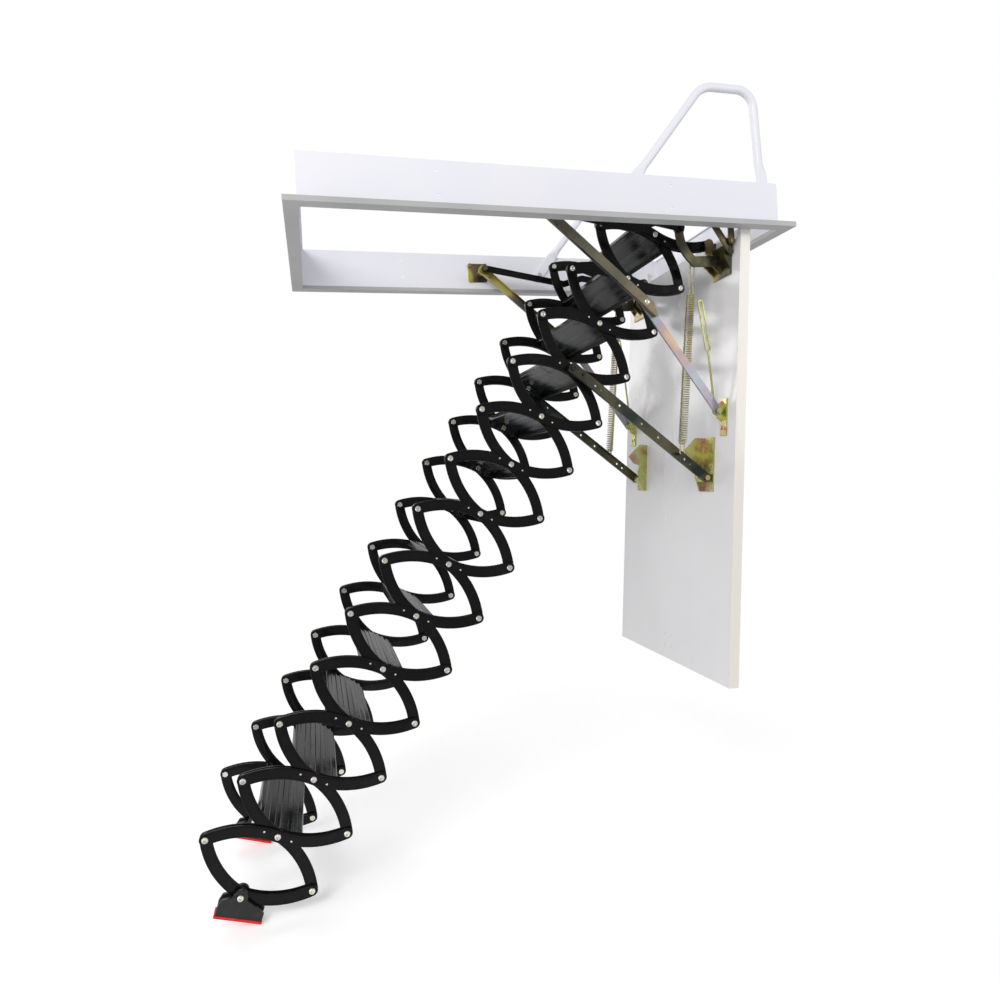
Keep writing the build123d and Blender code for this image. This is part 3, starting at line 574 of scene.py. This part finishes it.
def marks_node(tree, vector, group, grain_scale, mark_scale, mark_detail=6.0):
    """Outputs of the marks group, read along vector at the given scales."""
    node = add_node(tree, "ShaderNodeGroup", node_tree=group)
    tree.links.new(vector, node.inputs["Vector"])
    node.inputs["Grain Scale"].default_value = grain_scale
    node.inputs["Mark Scale"].default_value = mark_scale
    node.inputs["Mark Detail"].default_value = mark_detail
    return node.outputs


def make_paint(name, group, base, roughness, grain_scale, grain_depth, tint, tint_share):
    """Painted metal: colour clouds towards a tint, orange-peel grain, and duller marks."""
    material, tree, shader, vector = start_material(name, roughness)
    marks = marks_node(tree, vector, group, grain_scale, 5.0)
    share = between(tree, marks["Clouds"], 0.0, tint_share)
    tree.links.new(mixed(tree, share, base, tint), shader.inputs["Base Color"])
    tree.links.new(between(tree, marks["Marks"], roughness, roughness + 0.12), shader.inputs["Roughness"])
    bumped(tree, shader, marks["Grain"], 0.25, grain_depth)
    return material


def make_door_lacquer(group, base, edge):
    """Glossy board: faint grey clouds on its faces, and a creamier edging where it faces sideways."""
    material, tree, shader, vector = start_material("door_lacquer", 0.22)
    where = tree.nodes.new("ShaderNodeTexCoord")
    marks = marks_node(tree, stretched(tree, vector, (1.0, 1.0, 0.5)), group, 260.0, 3.0)
    face = mixed(tree, between(tree, marks["Clouds"], 0.0, 0.6), base, tuple(0.86 * c for c in base))
    split = add_node(tree, "ShaderNodeSeparateXYZ", links=[("Vector", where.outputs["Normal"])])
    links = [(0, split.outputs["Y"])]
    sideways = add_node(tree, "ShaderNodeMath", links=links, operation="ABSOLUTE").outputs[0]
    edging = between(tree, sideways, 0.0, 1.0, 0.45, 0.75)
    tree.links.new(mixed(tree, edging, face, edge), shader.inputs["Base Color"])
    tree.links.new(between(tree, marks["Marks"], 0.16, 0.34), shader.inputs["Roughness"])
    bumped(tree, shader, marks["Grain"], 0.12, 0.0002)
    return material


def make_black(name, group, base, roughness, stretch, streak, specular, detail=6.0):
    """Gloss black: streaks lift the colour a little as painted sheen, scuffs vary the gloss, and ripples bend
    reflections.
    """
    material, tree, shader, vector = start_material(name, roughness, specular=specular)
    lines = stretched(tree, vector, stretch)
    marks = marks_node(tree, lines, group, 420.0, 18.0, detail)
    scuffs = marks_node(tree, vector, group, 1400.0, 26.0)
    # painted sheen: the streaked lift of the colour stands in for light reflected off the gloss; on the
    # treads it paints the pale reflection bands of the ribs, on the arms it is faint
    painted_sheen = tuple(c + streak for c in base)
    tree.links.new(mixed(tree, marks["Marks"], base, painted_sheen), shader.inputs["Base Color"])
    links = [(0, scuffs["Marks"])]
    gloss = add_node(tree, "ShaderNodeMath", [(1, 0.10)], links, operation="MULTIPLY").outputs[0]
    low = between(tree, marks["Clouds"], roughness * 0.7, roughness * 1.35)
    total = add_node(tree, "ShaderNodeMath", links=[(0, gloss), (1, low)], operation="ADD").outputs[0]
    tree.links.new(total, shader.inputs["Roughness"])
    bumped(tree, shader, marks["Clouds"], 0.22, 0.0012)
    return material


def make_zinc(name, film, shift, spread, scale, roughness=0.27, silver=0.0):
    """Yellow zinc plate: a rainbow film, thinned by a share of bare silver, over metal dulled in patches."""
    material, tree, shader, vector = start_material(name, roughness, metallic=0.9)
    node = add_node(tree, "ShaderNodeGroup", node_tree=film)
    tree.links.new(vector, node.inputs["Vector"])
    for label, value in (("Scale", scale), ("Shift", shift), ("Spread", spread)):
        node.inputs[label].default_value = value
    tinted = mixed(tree, silver, node.outputs["Color"], (0.78, 0.77, 0.73))
    tree.links.new(tinted, shader.inputs["Base Color"])
    dull = between(tree, node.outputs["Dull"], roughness, roughness + 0.22)
    tree.links.new(dull, shader.inputs["Roughness"])
    bumped(tree, shader, node.outputs["Dull"], 0.12, 0.0003)
    return material


def make_moulding(name, group, base, roughness, grain_scale, specular):
    """Moulded plastic or rubber with an even pebble grain and worn, paler marks."""
    material, tree, shader, vector = start_material(name, roughness, specular=specular)
    marks = marks_node(tree, vector, group, grain_scale, 40.0)
    worn = tuple(min(1.0, 1.35 * c + 0.006) for c in base)
    tree.links.new(mixed(tree, marks["Marks"], base, worn), shader.inputs["Base Color"])
    dull = between(tree, marks["Grain"], roughness - 0.06, roughness + 0.1)
    tree.links.new(dull, shader.inputs["Roughness"])
    bumped(tree, shader, marks["Grain"], 0.5, 0.0005)
    return material


def finish(name):
    """Material of that name, once the finishes are made."""
    return bpy.data.materials[name]


# --- operators --------------------------------------------------------------------------------------
class LADDER_OT_finishes(bpy.types.Operator):
    """Make the paints, plating, moulding and rubber"""

    bl_idname = "ladder.finishes"
    bl_label = "Make finishes"

    def execute(self, context):
        looks = context.scene.ladder_finishes
        marks, film = make_marks_group(), make_film_group()
        lilac = (0.85, 0.85, 0.94)
        make_paint("casing_paint", marks, tuple(looks.casing), 0.34, 500.0, 0.00008, lilac, 0.5)
        make_paint("trim_paint", marks, tuple(looks.trim), 0.34, 500.0, 0.0004, (0.40, 0.40, 0.41), 0.6)
        make_door_lacquer(marks, tuple(looks.door), tuple(looks.door_edge))
        make_black("arm_black", marks, tuple(looks.arms), 0.17, (1.0, 1.0, 1.0), 0.003, 0.16)
        # the treads' streak of 0.040 paints the reflection bands of their ribs into the black
        make_black("tread_black", marks, tuple(looks.treads), 0.16, (3.0, 0.10, 3.0), 0.040, 0.45, 1.0)
        make_zinc("zinc_olive", film, 0.21, 0.9, 9.0)
        make_zinc("zinc_tan", film, 0.32, 1.3, 5.0, silver=0.08)
        make_zinc("zinc_gold", film, 0.47, 0.9, 12.0, 0.20, silver=0.10)
        make_zinc("zinc_lilac", film, 0.78, 0.9, 11.0, silver=0.20)
        make_zinc("zinc_dark", film, 0.10, 0.8, 8.0)
        make_zinc("bolt_zinc", film, 0.36, 0.8, 60.0, 0.14, silver=0.88)
        make_zinc("spring_zinc", film, 0.38, 0.5, 12.0, 0.22, silver=0.32)
        make_moulding("shoe_moulding", marks, tuple(looks.shoes), 0.42, 1500.0, 0.4)
        make_moulding("sole_rubber", marks, tuple(looks.soles), 0.62, 900.0, 0.35)
        return {"FINISHED"}


FRAME_FINISHES = {
    "casing_walls": "casing_paint",
    "trim_frame": "trim_paint",
    "casing_brackets": "zinc_olive",
    "door_panel": "door_lacquer",
    "hinge_brackets": "zinc_olive",
    "door_brackets": "zinc_gold",
    "stay_channels": "zinc_tan",
    "stay_straps": "zinc_lilac",
    "top_bars": "arm_black",
    "levers": "zinc_olive",
    "guide_arms": "zinc_dark",
    "foot_front": "shoe_moulding",
    "foot_back": "shoe_moulding",
    "sole_front": "sole_rubber",
    "sole_back": "sole_rubber",
}
SOFT_EDGES = {
    "foot_front": 0.0024,
    "foot_back": 0.0024,
    "sole_front": 0.0016,
    "sole_back": 0.0016,
    "door_panel": 0.0011,
}


class LADDER_OT_sheet_parts(bpy.types.Operator):
    """Finish the frame's own meshes: casing, trim, door, brackets, straps, levers and feet"""

    bl_idname = "ladder.sheet_parts"
    bl_label = "Finish sheet parts"

    def execute(self, context):
        settings = context.scene.ladder_arms
        for node, look in FRAME_FINISHES.items():
            piece = frame["nodes"][node]
            for slot in piece.material_slots:
                slot.material = finish(look)
            weld = piece.modifiers.new("Weld", "WELD")
            weld.merge_threshold = 0.00002
            flat = piece.modifiers.new("Flat", "DECIMATE")
            flat.decimate_type = "DISSOLVE"
            flat.angle_limit = math.radians(1)
            bevel = piece.modifiers.new("Bevel", "BEVEL")
            bevel.width = SOFT_EDGES.get(node, settings.edge_round)
            bevel.segments = 3 if node in SOFT_EDGES else 2
            bevel.limit_method = "ANGLE"
            bevel.angle_limit = math.radians(40)
            bevel.use_clamp_overlap = True
        return {"FINISHED"}


def arm_line(centre, tips):
    """Centre line of an arm through its middle pivot; each of its two tips has the side its arc bows to."""
    (start, start_bulge), (end, end_bulge) = tips
    return chain(arc_line(start, centre, start_bulge), arc_line(centre, end, end_bulge))


class LADDER_OT_arms(bpy.types.Operator):
    """Build the curved scissor arms of both side frames"""

    bl_idname = "ladder.arms"
    bl_label = "Build arms"

    def execute(self, context):
        half_width = context.scene.ladder_arms.half_width
        black = finish("arm_black")

        def build(name, node, body, line, layers):
            part = join([mirrored(plate(line, low, high, half_width)) for low, high in layers])
            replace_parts(place(name, part, body, black), node)

        pair = (OUTER_PLATE, INNER_PLATE)
        for k in range(TREADS):
            number = f"{k + 1:02d}"
            right = RIGHT[k - 1] if k else TOP_PIVOT
            line = arm_line(CROSSINGS[k], [(LEFT[k], -ALONG), (right, ALONG)])
            build(f"double_arm_{number}", f"carrying_arm_{number}", f"carrying_{number}", line, pair)
            if k:
                line = arm_line(CROSSINGS[k], [(LEFT[k - 1], ALONG), (RIGHT[k], -ALONG)])
            else:
                line = arc_line(CROSSINGS[0], RIGHT[0], -ALONG)
            node = f"crossing_arm_{number}"
            build(f"single_arm_{number}", node, f"crossing_{number}", line, (MIDDLE_PLATE,))
        last = CROSSINGS[TREADS]
        line = arc_line(LEFT[-1], last, ALONG)
        build("single_arm_foot", "crossing_arm_foot", "crossing_foot", line, (MIDDLE_PLATE,))
        line = arc_line(last, RIGHT[-1], ALONG)
        build("double_arm_foot", "carrying_arm_foot", "carrying_foot", line, pair)
        return {"FINISHED"}


class LADDER_OT_bolts(bpy.types.Operator):
    """Build the socket bolts, nuts and small screws of the arms"""

    bl_idname = "ladder.bolts"
    bl_label = "Build bolts"

    def execute(self, context):
        zinc = finish("bolt_zinc")
        face, inner = OUTER_PLATE[1], INNER_PLATE[0]
        for k in range(TREADS):
            pivots = [LEFT[k], CROSSINGS[k]] + ([RIGHT[k - 1]] if k else [])
            parts = []
            for pivot in pivots:
                back = inner - (TREAD_SHEET + FACE_GAP if pivot is CROSSINGS[k] else 0)
                parts += [socket_bolt(pivot, face), hexagon_nut(pivot, back - NUT_HEIGHT, NUT_HEIGHT)]
            for sign in (-1, 1):
                spot = CROSSINGS[k] + sign * STUB_OFFSET * TREAD_LINE
                parts.append(socket_bolt(spot, face, *STUB_HEAD))
            name = f"bolts_{k + 1:02d}"
            place(name, mirrored(join(parts)), f"carrying_{k + 1:02d}", zinc)
        tip, last = RIGHT[-1], CROSSINGS[TREADS]
        parts = [
            socket_bolt(tip, face),
            hexagon_nut(tip, inner - NUT_HEIGHT, NUT_HEIGHT),
            socket_bolt(last, FOOT_OUTER + FACE_GAP),
            hexagon_nut(last, FOOT_INNER - NUT_HEIGHT - 2 * FACE_GAP, NUT_HEIGHT + FACE_GAP),
        ]
        place("bolts_foot", mirrored(join(parts)), "carrying_foot", zinc)
        return {"FINISHED"}


def tread_section(ribs, rib_height):
    """Closed section of a tread in its own (along, up) plane.

    The top is a flat sheet with a rib wherever the cosine of the rib phase passes 0.55, rounded by a smooth
    step; its front and back roll over on quarter circles into lips, and the inside follows at the sheet's
    thickness.
    """
    half, top, roll = TREAD_DEPTH / 2, TREAD_RISE + TREAD_SHEET, TREAD_ROLL
    low = TREAD_RISE - TREAD_LIP
    x = np.linspace(-half + roll, half - roll, 20 * ribs)
    phase = np.cos(2 * math.pi * x * (ribs + 1) / TREAD_DEPTH + math.pi * (ribs + 1))
    step = np.clip((phase - 0.15) / 0.6, 0, 1)
    upper = np.stack([x, top + rib_height * step * step * (3 - 2 * step)], -1)
    q = np.linspace(0, math.pi / 2, 7)[1:-1]
    front = np.stack([-half + roll * (1 - np.sin(q[::-1])), top - roll * (1 - np.cos(q[::-1]))], -1)
    back = front[::-1] * (-1, 1)
    edge = [(-half, low), (-half, top - roll)]
    outer = np.concatenate([edge, front, upper, back, [(half, top - roll), (half, low)]])
    inner_half, inner_roll = half - TREAD_SHEET, roll - TREAD_SHEET
    turn_x = -inner_half + inner_roll * (1 - np.sin(q[::-1]))
    turn_up = TREAD_RISE - inner_roll * (1 - np.cos(q[::-1]))
    inner_edge = [(-inner_half, low), (-inner_half, TREAD_RISE - inner_roll)]
    inner = np.concatenate([inner_edge, np.stack([turn_x, turn_up], -1)])
    return np.concatenate([outer, inner * (-1, 1), inner[::-1]])


class LADDER_OT_treads(bpy.types.Operator):
    """Build the ribbed treads with their lips and end ears"""

    bl_idname = "ladder.treads"
    bl_label = "Build treads"

    def execute(self, context):
        settings = context.scene.ladder_arms
        section = tread_section(settings.rib_count, settings.rib_height)
        top, foot = TREAD_DEPTH / 2 - EAR_TOP_INSET, TREAD_DEPTH / 2 - EAR_FOOT_INSET
        ear = np.array([(-foot, EAR_FOOT), (-top, TREAD_RISE), (top, TREAD_RISE), (foot, EAR_FOOT)])
        black = finish("tread_black")
        ends = TREAD_HALF_WIDTH * np.array([-1.0, -0.999, -0.5, 0, 0.5, 0.999, 1.0])
        for k in range(TREADS):

            def at(points):
                """Points (along, up) of this tread as (x, z)."""
                return CROSSINGS[k] + points[:, :1] * TREAD_LINE + points[:, 1:] * TREAD_UP

            sheet = tube(np.stack([in_xz(at(section), y) for y in ends]))
            ear_faces = (TREAD_HALF_WIDTH - TREAD_SHEET, TREAD_HALF_WIDTH)
            ears = mirrored(tube(np.stack([in_xz(at(ear), y) for y in ear_faces])))
            number = f"{k + 1:02d}"
            piece = place(f"step_{number}", join([sheet, ears]), f"carrying_{number}", black)
            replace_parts(piece, f"tread_{number}")
        return {"FINISHED"}


def loop_line(start, end, half_width, y, count=13):
    """Closed wire eye in XZ: two straight sides from start to end joined by half circles."""
    line = np.stack([start, end])
    tangent = (end - start) / np.linalg.norm(end - start)
    side = np.array([-tangent[1], tangent[0]])
    return in_xz(outline((line, np.stack([side, side])), half_width, count), y)


class LADDER_OT_springs(bpy.types.Operator):
    """Wind the two door springs with their wire hangers and hooks"""

    bl_idname = "ladder.springs"
    bl_label = "Wind springs"

    def execute(self, context):
        settings = context.scene.ladder_arms
        wire_radius = settings.coil_wire / 2
        axis = SPRING_FOOT - LEVER_KNEE
        axis = axis / np.linalg.norm(axis)
        down = np.array([axis[0], 0, axis[1]])
        side = np.array([-axis[1], 0, axis[0]])
        across = np.array([0.0, 1.0, 0.0])
        top = in_xz(LEVER_KNEE + COIL_START * axis, SPRING_Y)
        # helix: top + down * length * t + radius (side cos q + across sin q); each end's last turn draws in
        t = np.linspace(0, 1, settings.coil_turns * 20)
        q = 2 * math.pi * settings.coil_turns * t
        from_end = np.minimum(t, 1 - t) * settings.coil_turns
        radius = (COIL_RADIUS - wire_radius) * (0.55 + 0.45 * np.clip(from_end / 0.8, 0, 1) ** 0.7)
        radial = side * np.cos(q)[:, None] + across * np.sin(q)[:, None]
        line = top + down * (COIL_LENGTH * t)[:, None] + radius[:, None] * radial
        parts = [wire(line, wire_radius, radial, sides=8)]
        coil_foot = LEVER_KNEE + (COIL_START + COIL_LENGTH) * axis
        overlap = HANGER_OVERLAP * axis
        for start, end in (
            (LEVER_KNEE + overlap, LEVER_KNEE + COIL_START * axis + overlap),
            (coil_foot - overlap, SPRING_FOOT - overlap),
        ):
            eye = loop_line(start, end, HANGER_HALF_WIDTH, SPRING_Y)
            parts.append(wire(eye, HANGER_WIRE_RADIUS, across, closed=True))
        piece = place("door_springs", mirrored(join(parts)), "springs", finish("spring_zinc"))
        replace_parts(piece, "springs")
        return {"FINISHED"}


class LADDER_OT_handrails(bpy.types.Operator):
    """Bend the two handrails, press their feet flat and bolt them on"""

    bl_idname = "ladder.handrails"
    bl_label = "Bend handrails"

    def execute(self, context):
        ends = []
        for inner, tip in ((RAIL_POINTS[1], RAIL_POINTS[0]), (RAIL_POINTS[-2], RAIL_POINTS[-1])):
            ends.append((tip, (tip - inner) / np.linalg.norm(tip - inner)))
        first, last = (tip + RAIL_FOOT * along for tip, along in ends)
        corners = np.stack([first, *RAIL_POINTS[1:-1], last])
        line, distance = bent_line(corners, RAIL_BENDS)
        tangent = np.gradient(line, axis=0)
        tangent /= np.linalg.norm(tangent, axis=1, keepdims=True)
        side = np.stack([-tangent[:, 1], tangent[:, 0]], -1)
        # section: half sizes go from the flat foot to the round tube by a smooth step
        end = np.minimum(distance, distance[-1] - distance)
        flat_end, round_start = RAIL_FLAT_LENGTH
        step = np.clip((end - flat_end) / (round_start - flat_end), 0, 1)
        step = step * step * (3 - 2 * step)
        tip = np.sqrt(np.clip(1 - (1 - np.clip(end / RAIL_FOOT_HALF_WIDTH, 0, 1)) ** 2, 0.02, 1))
        half_width = ((1 - step) * RAIL_FOOT_HALF_WIDTH + step * RAIL_RADIUS) * tip
        half_depth = (1 - step) * RAIL_FOOT_HALF_DEPTH + step * RAIL_RADIUS
        centre = RAIL_WALL - half_depth
        q = np.linspace(0, 2 * math.pi, 28, endpoint=False)
        power = (0.45 + 0.55 * step)[:, None]
        cos_q = np.sign(np.cos(q)) * np.abs(np.cos(q)) ** power
        sin_q = np.sign(np.sin(q)) * np.abs(np.sin(q)) ** power
        flat = line[:, None] + (half_width[:, None] * cos_q)[..., None] * side[:, None]
        rings = in_xz(flat, centre[:, None] + half_depth[:, None] * sin_q)
        paint = finish("casing_paint")
        rail = place("rails", mirrored(tube(rings)), "hatch", paint, math.radians(50))
        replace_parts(rail, "handrails")
        spots = [point + drop * along for point, along in ends for drop in RAIL_NUT_DROPS]
        nuts = [hexagon_nut(spot, RAIL_NUT_Y, RAIL_NUT_HEIGHT, RAIL_NUT_RADIUS) for spot in spots]
        place("rail_bolts", mirrored(join(nuts)), "hatch", finish("bolt_zinc"))
        return {"FINISHED"}


class LADDER_OT_stay_rivets(bpy.types.Operator):
    """Build the domed rivet at the elbow of each stay"""

    bl_idname = "ladder.stay_rivets"
    bl_label = "Build stay rivets"

    def execute(self, context):
        levels = [(radius, CHANNEL_FACE + height) for radius, height in RIVET_DOME]
        rivet = lathe(np.array(STAY_ELBOW), levels)
        place("stay_rivets", mirrored(rivet), "stay_channels", finish("bolt_zinc"))
        return {"FINISHED"}


class LADDER_OT_hinge_bars(bpy.types.Operator):
    """Build the hinge straps between the casing pins and the door pins"""

    bl_idname = "ladder.hinge_bars"
    bl_label = "Build hinge straps"

    def execute(self, context):
        for length, (door_pin, (low, high), head_height) in HINGE_BARS.items():
            ends = np.stack([PIVOTS[f"hinge_strap_{length}_swing"], np.array(door_pin)])
            ahead = (ends[1] - ends[0]) / np.linalg.norm(ends[1] - ends[0])
            sides = np.stack([np.array([-ahead[1], ahead[0]])] * 2)
            bar = mirrored(plate((ends, sides), low, high, HINGE_BAR_HALF_WIDTH, grooved=False))
            heads = mirrored(join([hexagon_nut(end, high, head_height, HINGE_NUT_RADIUS) for end in ends]))
            body = f"hinge_straps_{length}"
            piece = place(f"hinge_bar_{length}", join([bar, heads]), body, finish("zinc_olive"))
            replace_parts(piece, body)
        return {"FINISHED"}


# --- stage -------------------------------------------------------------------------------------------
def add_light(name, place_at, aim, size, power, tint):
    """Rectangular soft light at a place, facing the point aim."""
    data = bpy.data.lights.new(name, "AREA")
    data.shape, data.size, data.size_y = "RECTANGLE", size[0], size[1]
    data.energy, data.color = power, tint
    light = bpy.data.objects.new(name, data)
    light.location = place_at
    light.rotation_euler = (Vector(aim) - Vector(place_at)).to_track_quat("-Z", "Y").to_euler()
    bpy.context.scene.collection.objects.link(light)


class LADDER_OT_stage(bpy.types.Operator):
    """Set up the camera, the pale floor, the background and the soft lights"""

    bl_idname = "ladder.stage"
    bl_label = "Set the stage"

    def execute(self, context):
        scene = context.scene
        level = math.cos(EYE_PITCH)
        ahead = np.array([math.sin(EYE_YAW) * level, math.cos(EYE_YAW) * level, math.sin(EYE_PITCH)])
        right = np.array([math.cos(EYE_YAW), -math.sin(EYE_YAW), 0.0])
        down = np.cross(ahead, right)
        rolled_right = math.cos(EYE_ROLL) * right + math.sin(EYE_ROLL) * down
        rolled_down = math.cos(EYE_ROLL) * down - math.sin(EYE_ROLL) * right
        data = bpy.data.cameras.new("camera")
        data.sensor_width = SENSOR
        data.lens = LENS
        data.shift_x, data.shift_y = LENS_SHIFT
        data.clip_start, data.clip_end = 0.05, 60
        camera = bpy.data.objects.new("camera", data)
        turn = Matrix(np.stack([rolled_right, -rolled_down, -ahead], 1).tolist()).to_4x4()
        camera.matrix_world = Matrix.Translation(EYE) @ turn
        scene.collection.objects.link(camera)
        scene.camera = camera

        world = bpy.data.worlds.new("pale")
        scene.world = world
        world.use_nodes = True
        tree = world.node_tree
        background = tree.nodes["Background"]
        background.inputs["Color"].default_value = (1, 1, 1, 1)
        path = tree.nodes.new("ShaderNodeLightPath")
        strength = between(tree, path.outputs["Is Camera Ray"], AMBIENT_STRENGTH, 1.0)
        tree.links.new(strength, background.inputs["Strength"])
        scene.view_settings.view_transform = "Standard"

        floor_z = CAD_BOX[0].z
        rows = np.linspace(-1, 1, FLOOR_LINES) * FLOOR_HALF_SIZE
        x, y = np.meshgrid(rows, rows, indexing="ij")
        points, faces = grid(np.stack([x, y, np.full_like(x, floor_z - FLOOR_DROP)], -1))
        floor_mesh = bpy.data.meshes.new("floor")
        floor_mesh.from_pydata(points.tolist(), [], faces[0].tolist())
        floor = bpy.data.objects.new("floor", floor_mesh)
        scene.collection.objects.link(floor)
        material, tree, shader, vector = start_material("floor_paint", 0.85, specular=0.1)
        spots = noise(tree, vector, 2.0)
        greys = mixed(tree, spots, (0.93, 0.93, 0.93), (0.95, 0.95, 0.95))
        tree.links.new(greys, shader.inputs["Base Color"])
        middle = [(1, (-FLOOR_CENTRE_X, 0.0, -floor_z))]
        centred = add_node(tree, "ShaderNodeVectorMath", middle, [(0, vector)], operation="ADD")
        links = [(0, centred.outputs["Vector"])]
        reach = add_node(tree, "ShaderNodeVectorMath", links=links, operation="LENGTH").outputs["Value"]
        tree.links.new(between(tree, reach, 1.0, 0.0, *FLOOR_FADE), shader.inputs["Alpha"])
        shader.inputs["Emission Color"].default_value = (1, 1, 1, 1)
        shader.inputs["Emission Strength"].default_value = 0.25
        floor_mesh.materials.append(material)

        for name, values in LIGHTS.items():
            add_light(name, *values)
        return {"FINISHED"}


class LADDER_PT_panel(bpy.types.Panel):
    """Lists the ladder's builders and settings"""

    bl_label = "Attic Ladder"
    bl_idname = "LADDER_PT_panel"
    bl_space_type = "VIEW_3D"
    bl_region_type = "UI"
    bl_category = "Attic Ladder"

    def draw(self, context):
        for operator in BUILDERS:
            self.layout.operator(operator.bl_idname)
        for group in (context.scene.ladder_arms, context.scene.ladder_finishes):
            for name in group.__annotations__:
                self.layout.prop(group, name)


BUILDERS = (
    LADDER_OT_finishes,
    LADDER_OT_sheet_parts,
    LADDER_OT_arms,
    LADDER_OT_bolts,
    LADDER_OT_treads,
    LADDER_OT_springs,
    LADDER_OT_handrails,
    LADDER_OT_hinge_bars,
    LADDER_OT_stay_rivets,
    LADDER_OT_stage,
)
CLASSES = (LadderArmSettings, LadderFinishSettings) + BUILDERS + (LADDER_PT_panel,)


def register():
    for each in CLASSES:
        bpy.utils.register_class(each)
    bpy.types.Scene.ladder_arms = PointerProperty(type=LadderArmSettings)
    bpy.types.Scene.ladder_finishes = PointerProperty(type=LadderFinishSettings)


def unregister():
    del bpy.types.Scene.ladder_arms, bpy.types.Scene.ladder_finishes
    for each in reversed(CLASSES):
        bpy.utils.unregister_class(each)


def main():
    """Builds everything in order."""
    register()
    for operator in BUILDERS:
        group, name = operator.bl_idname.split(".")
        getattr(getattr(bpy.ops, group), name)()


if __name__ == "__main__":
    main()
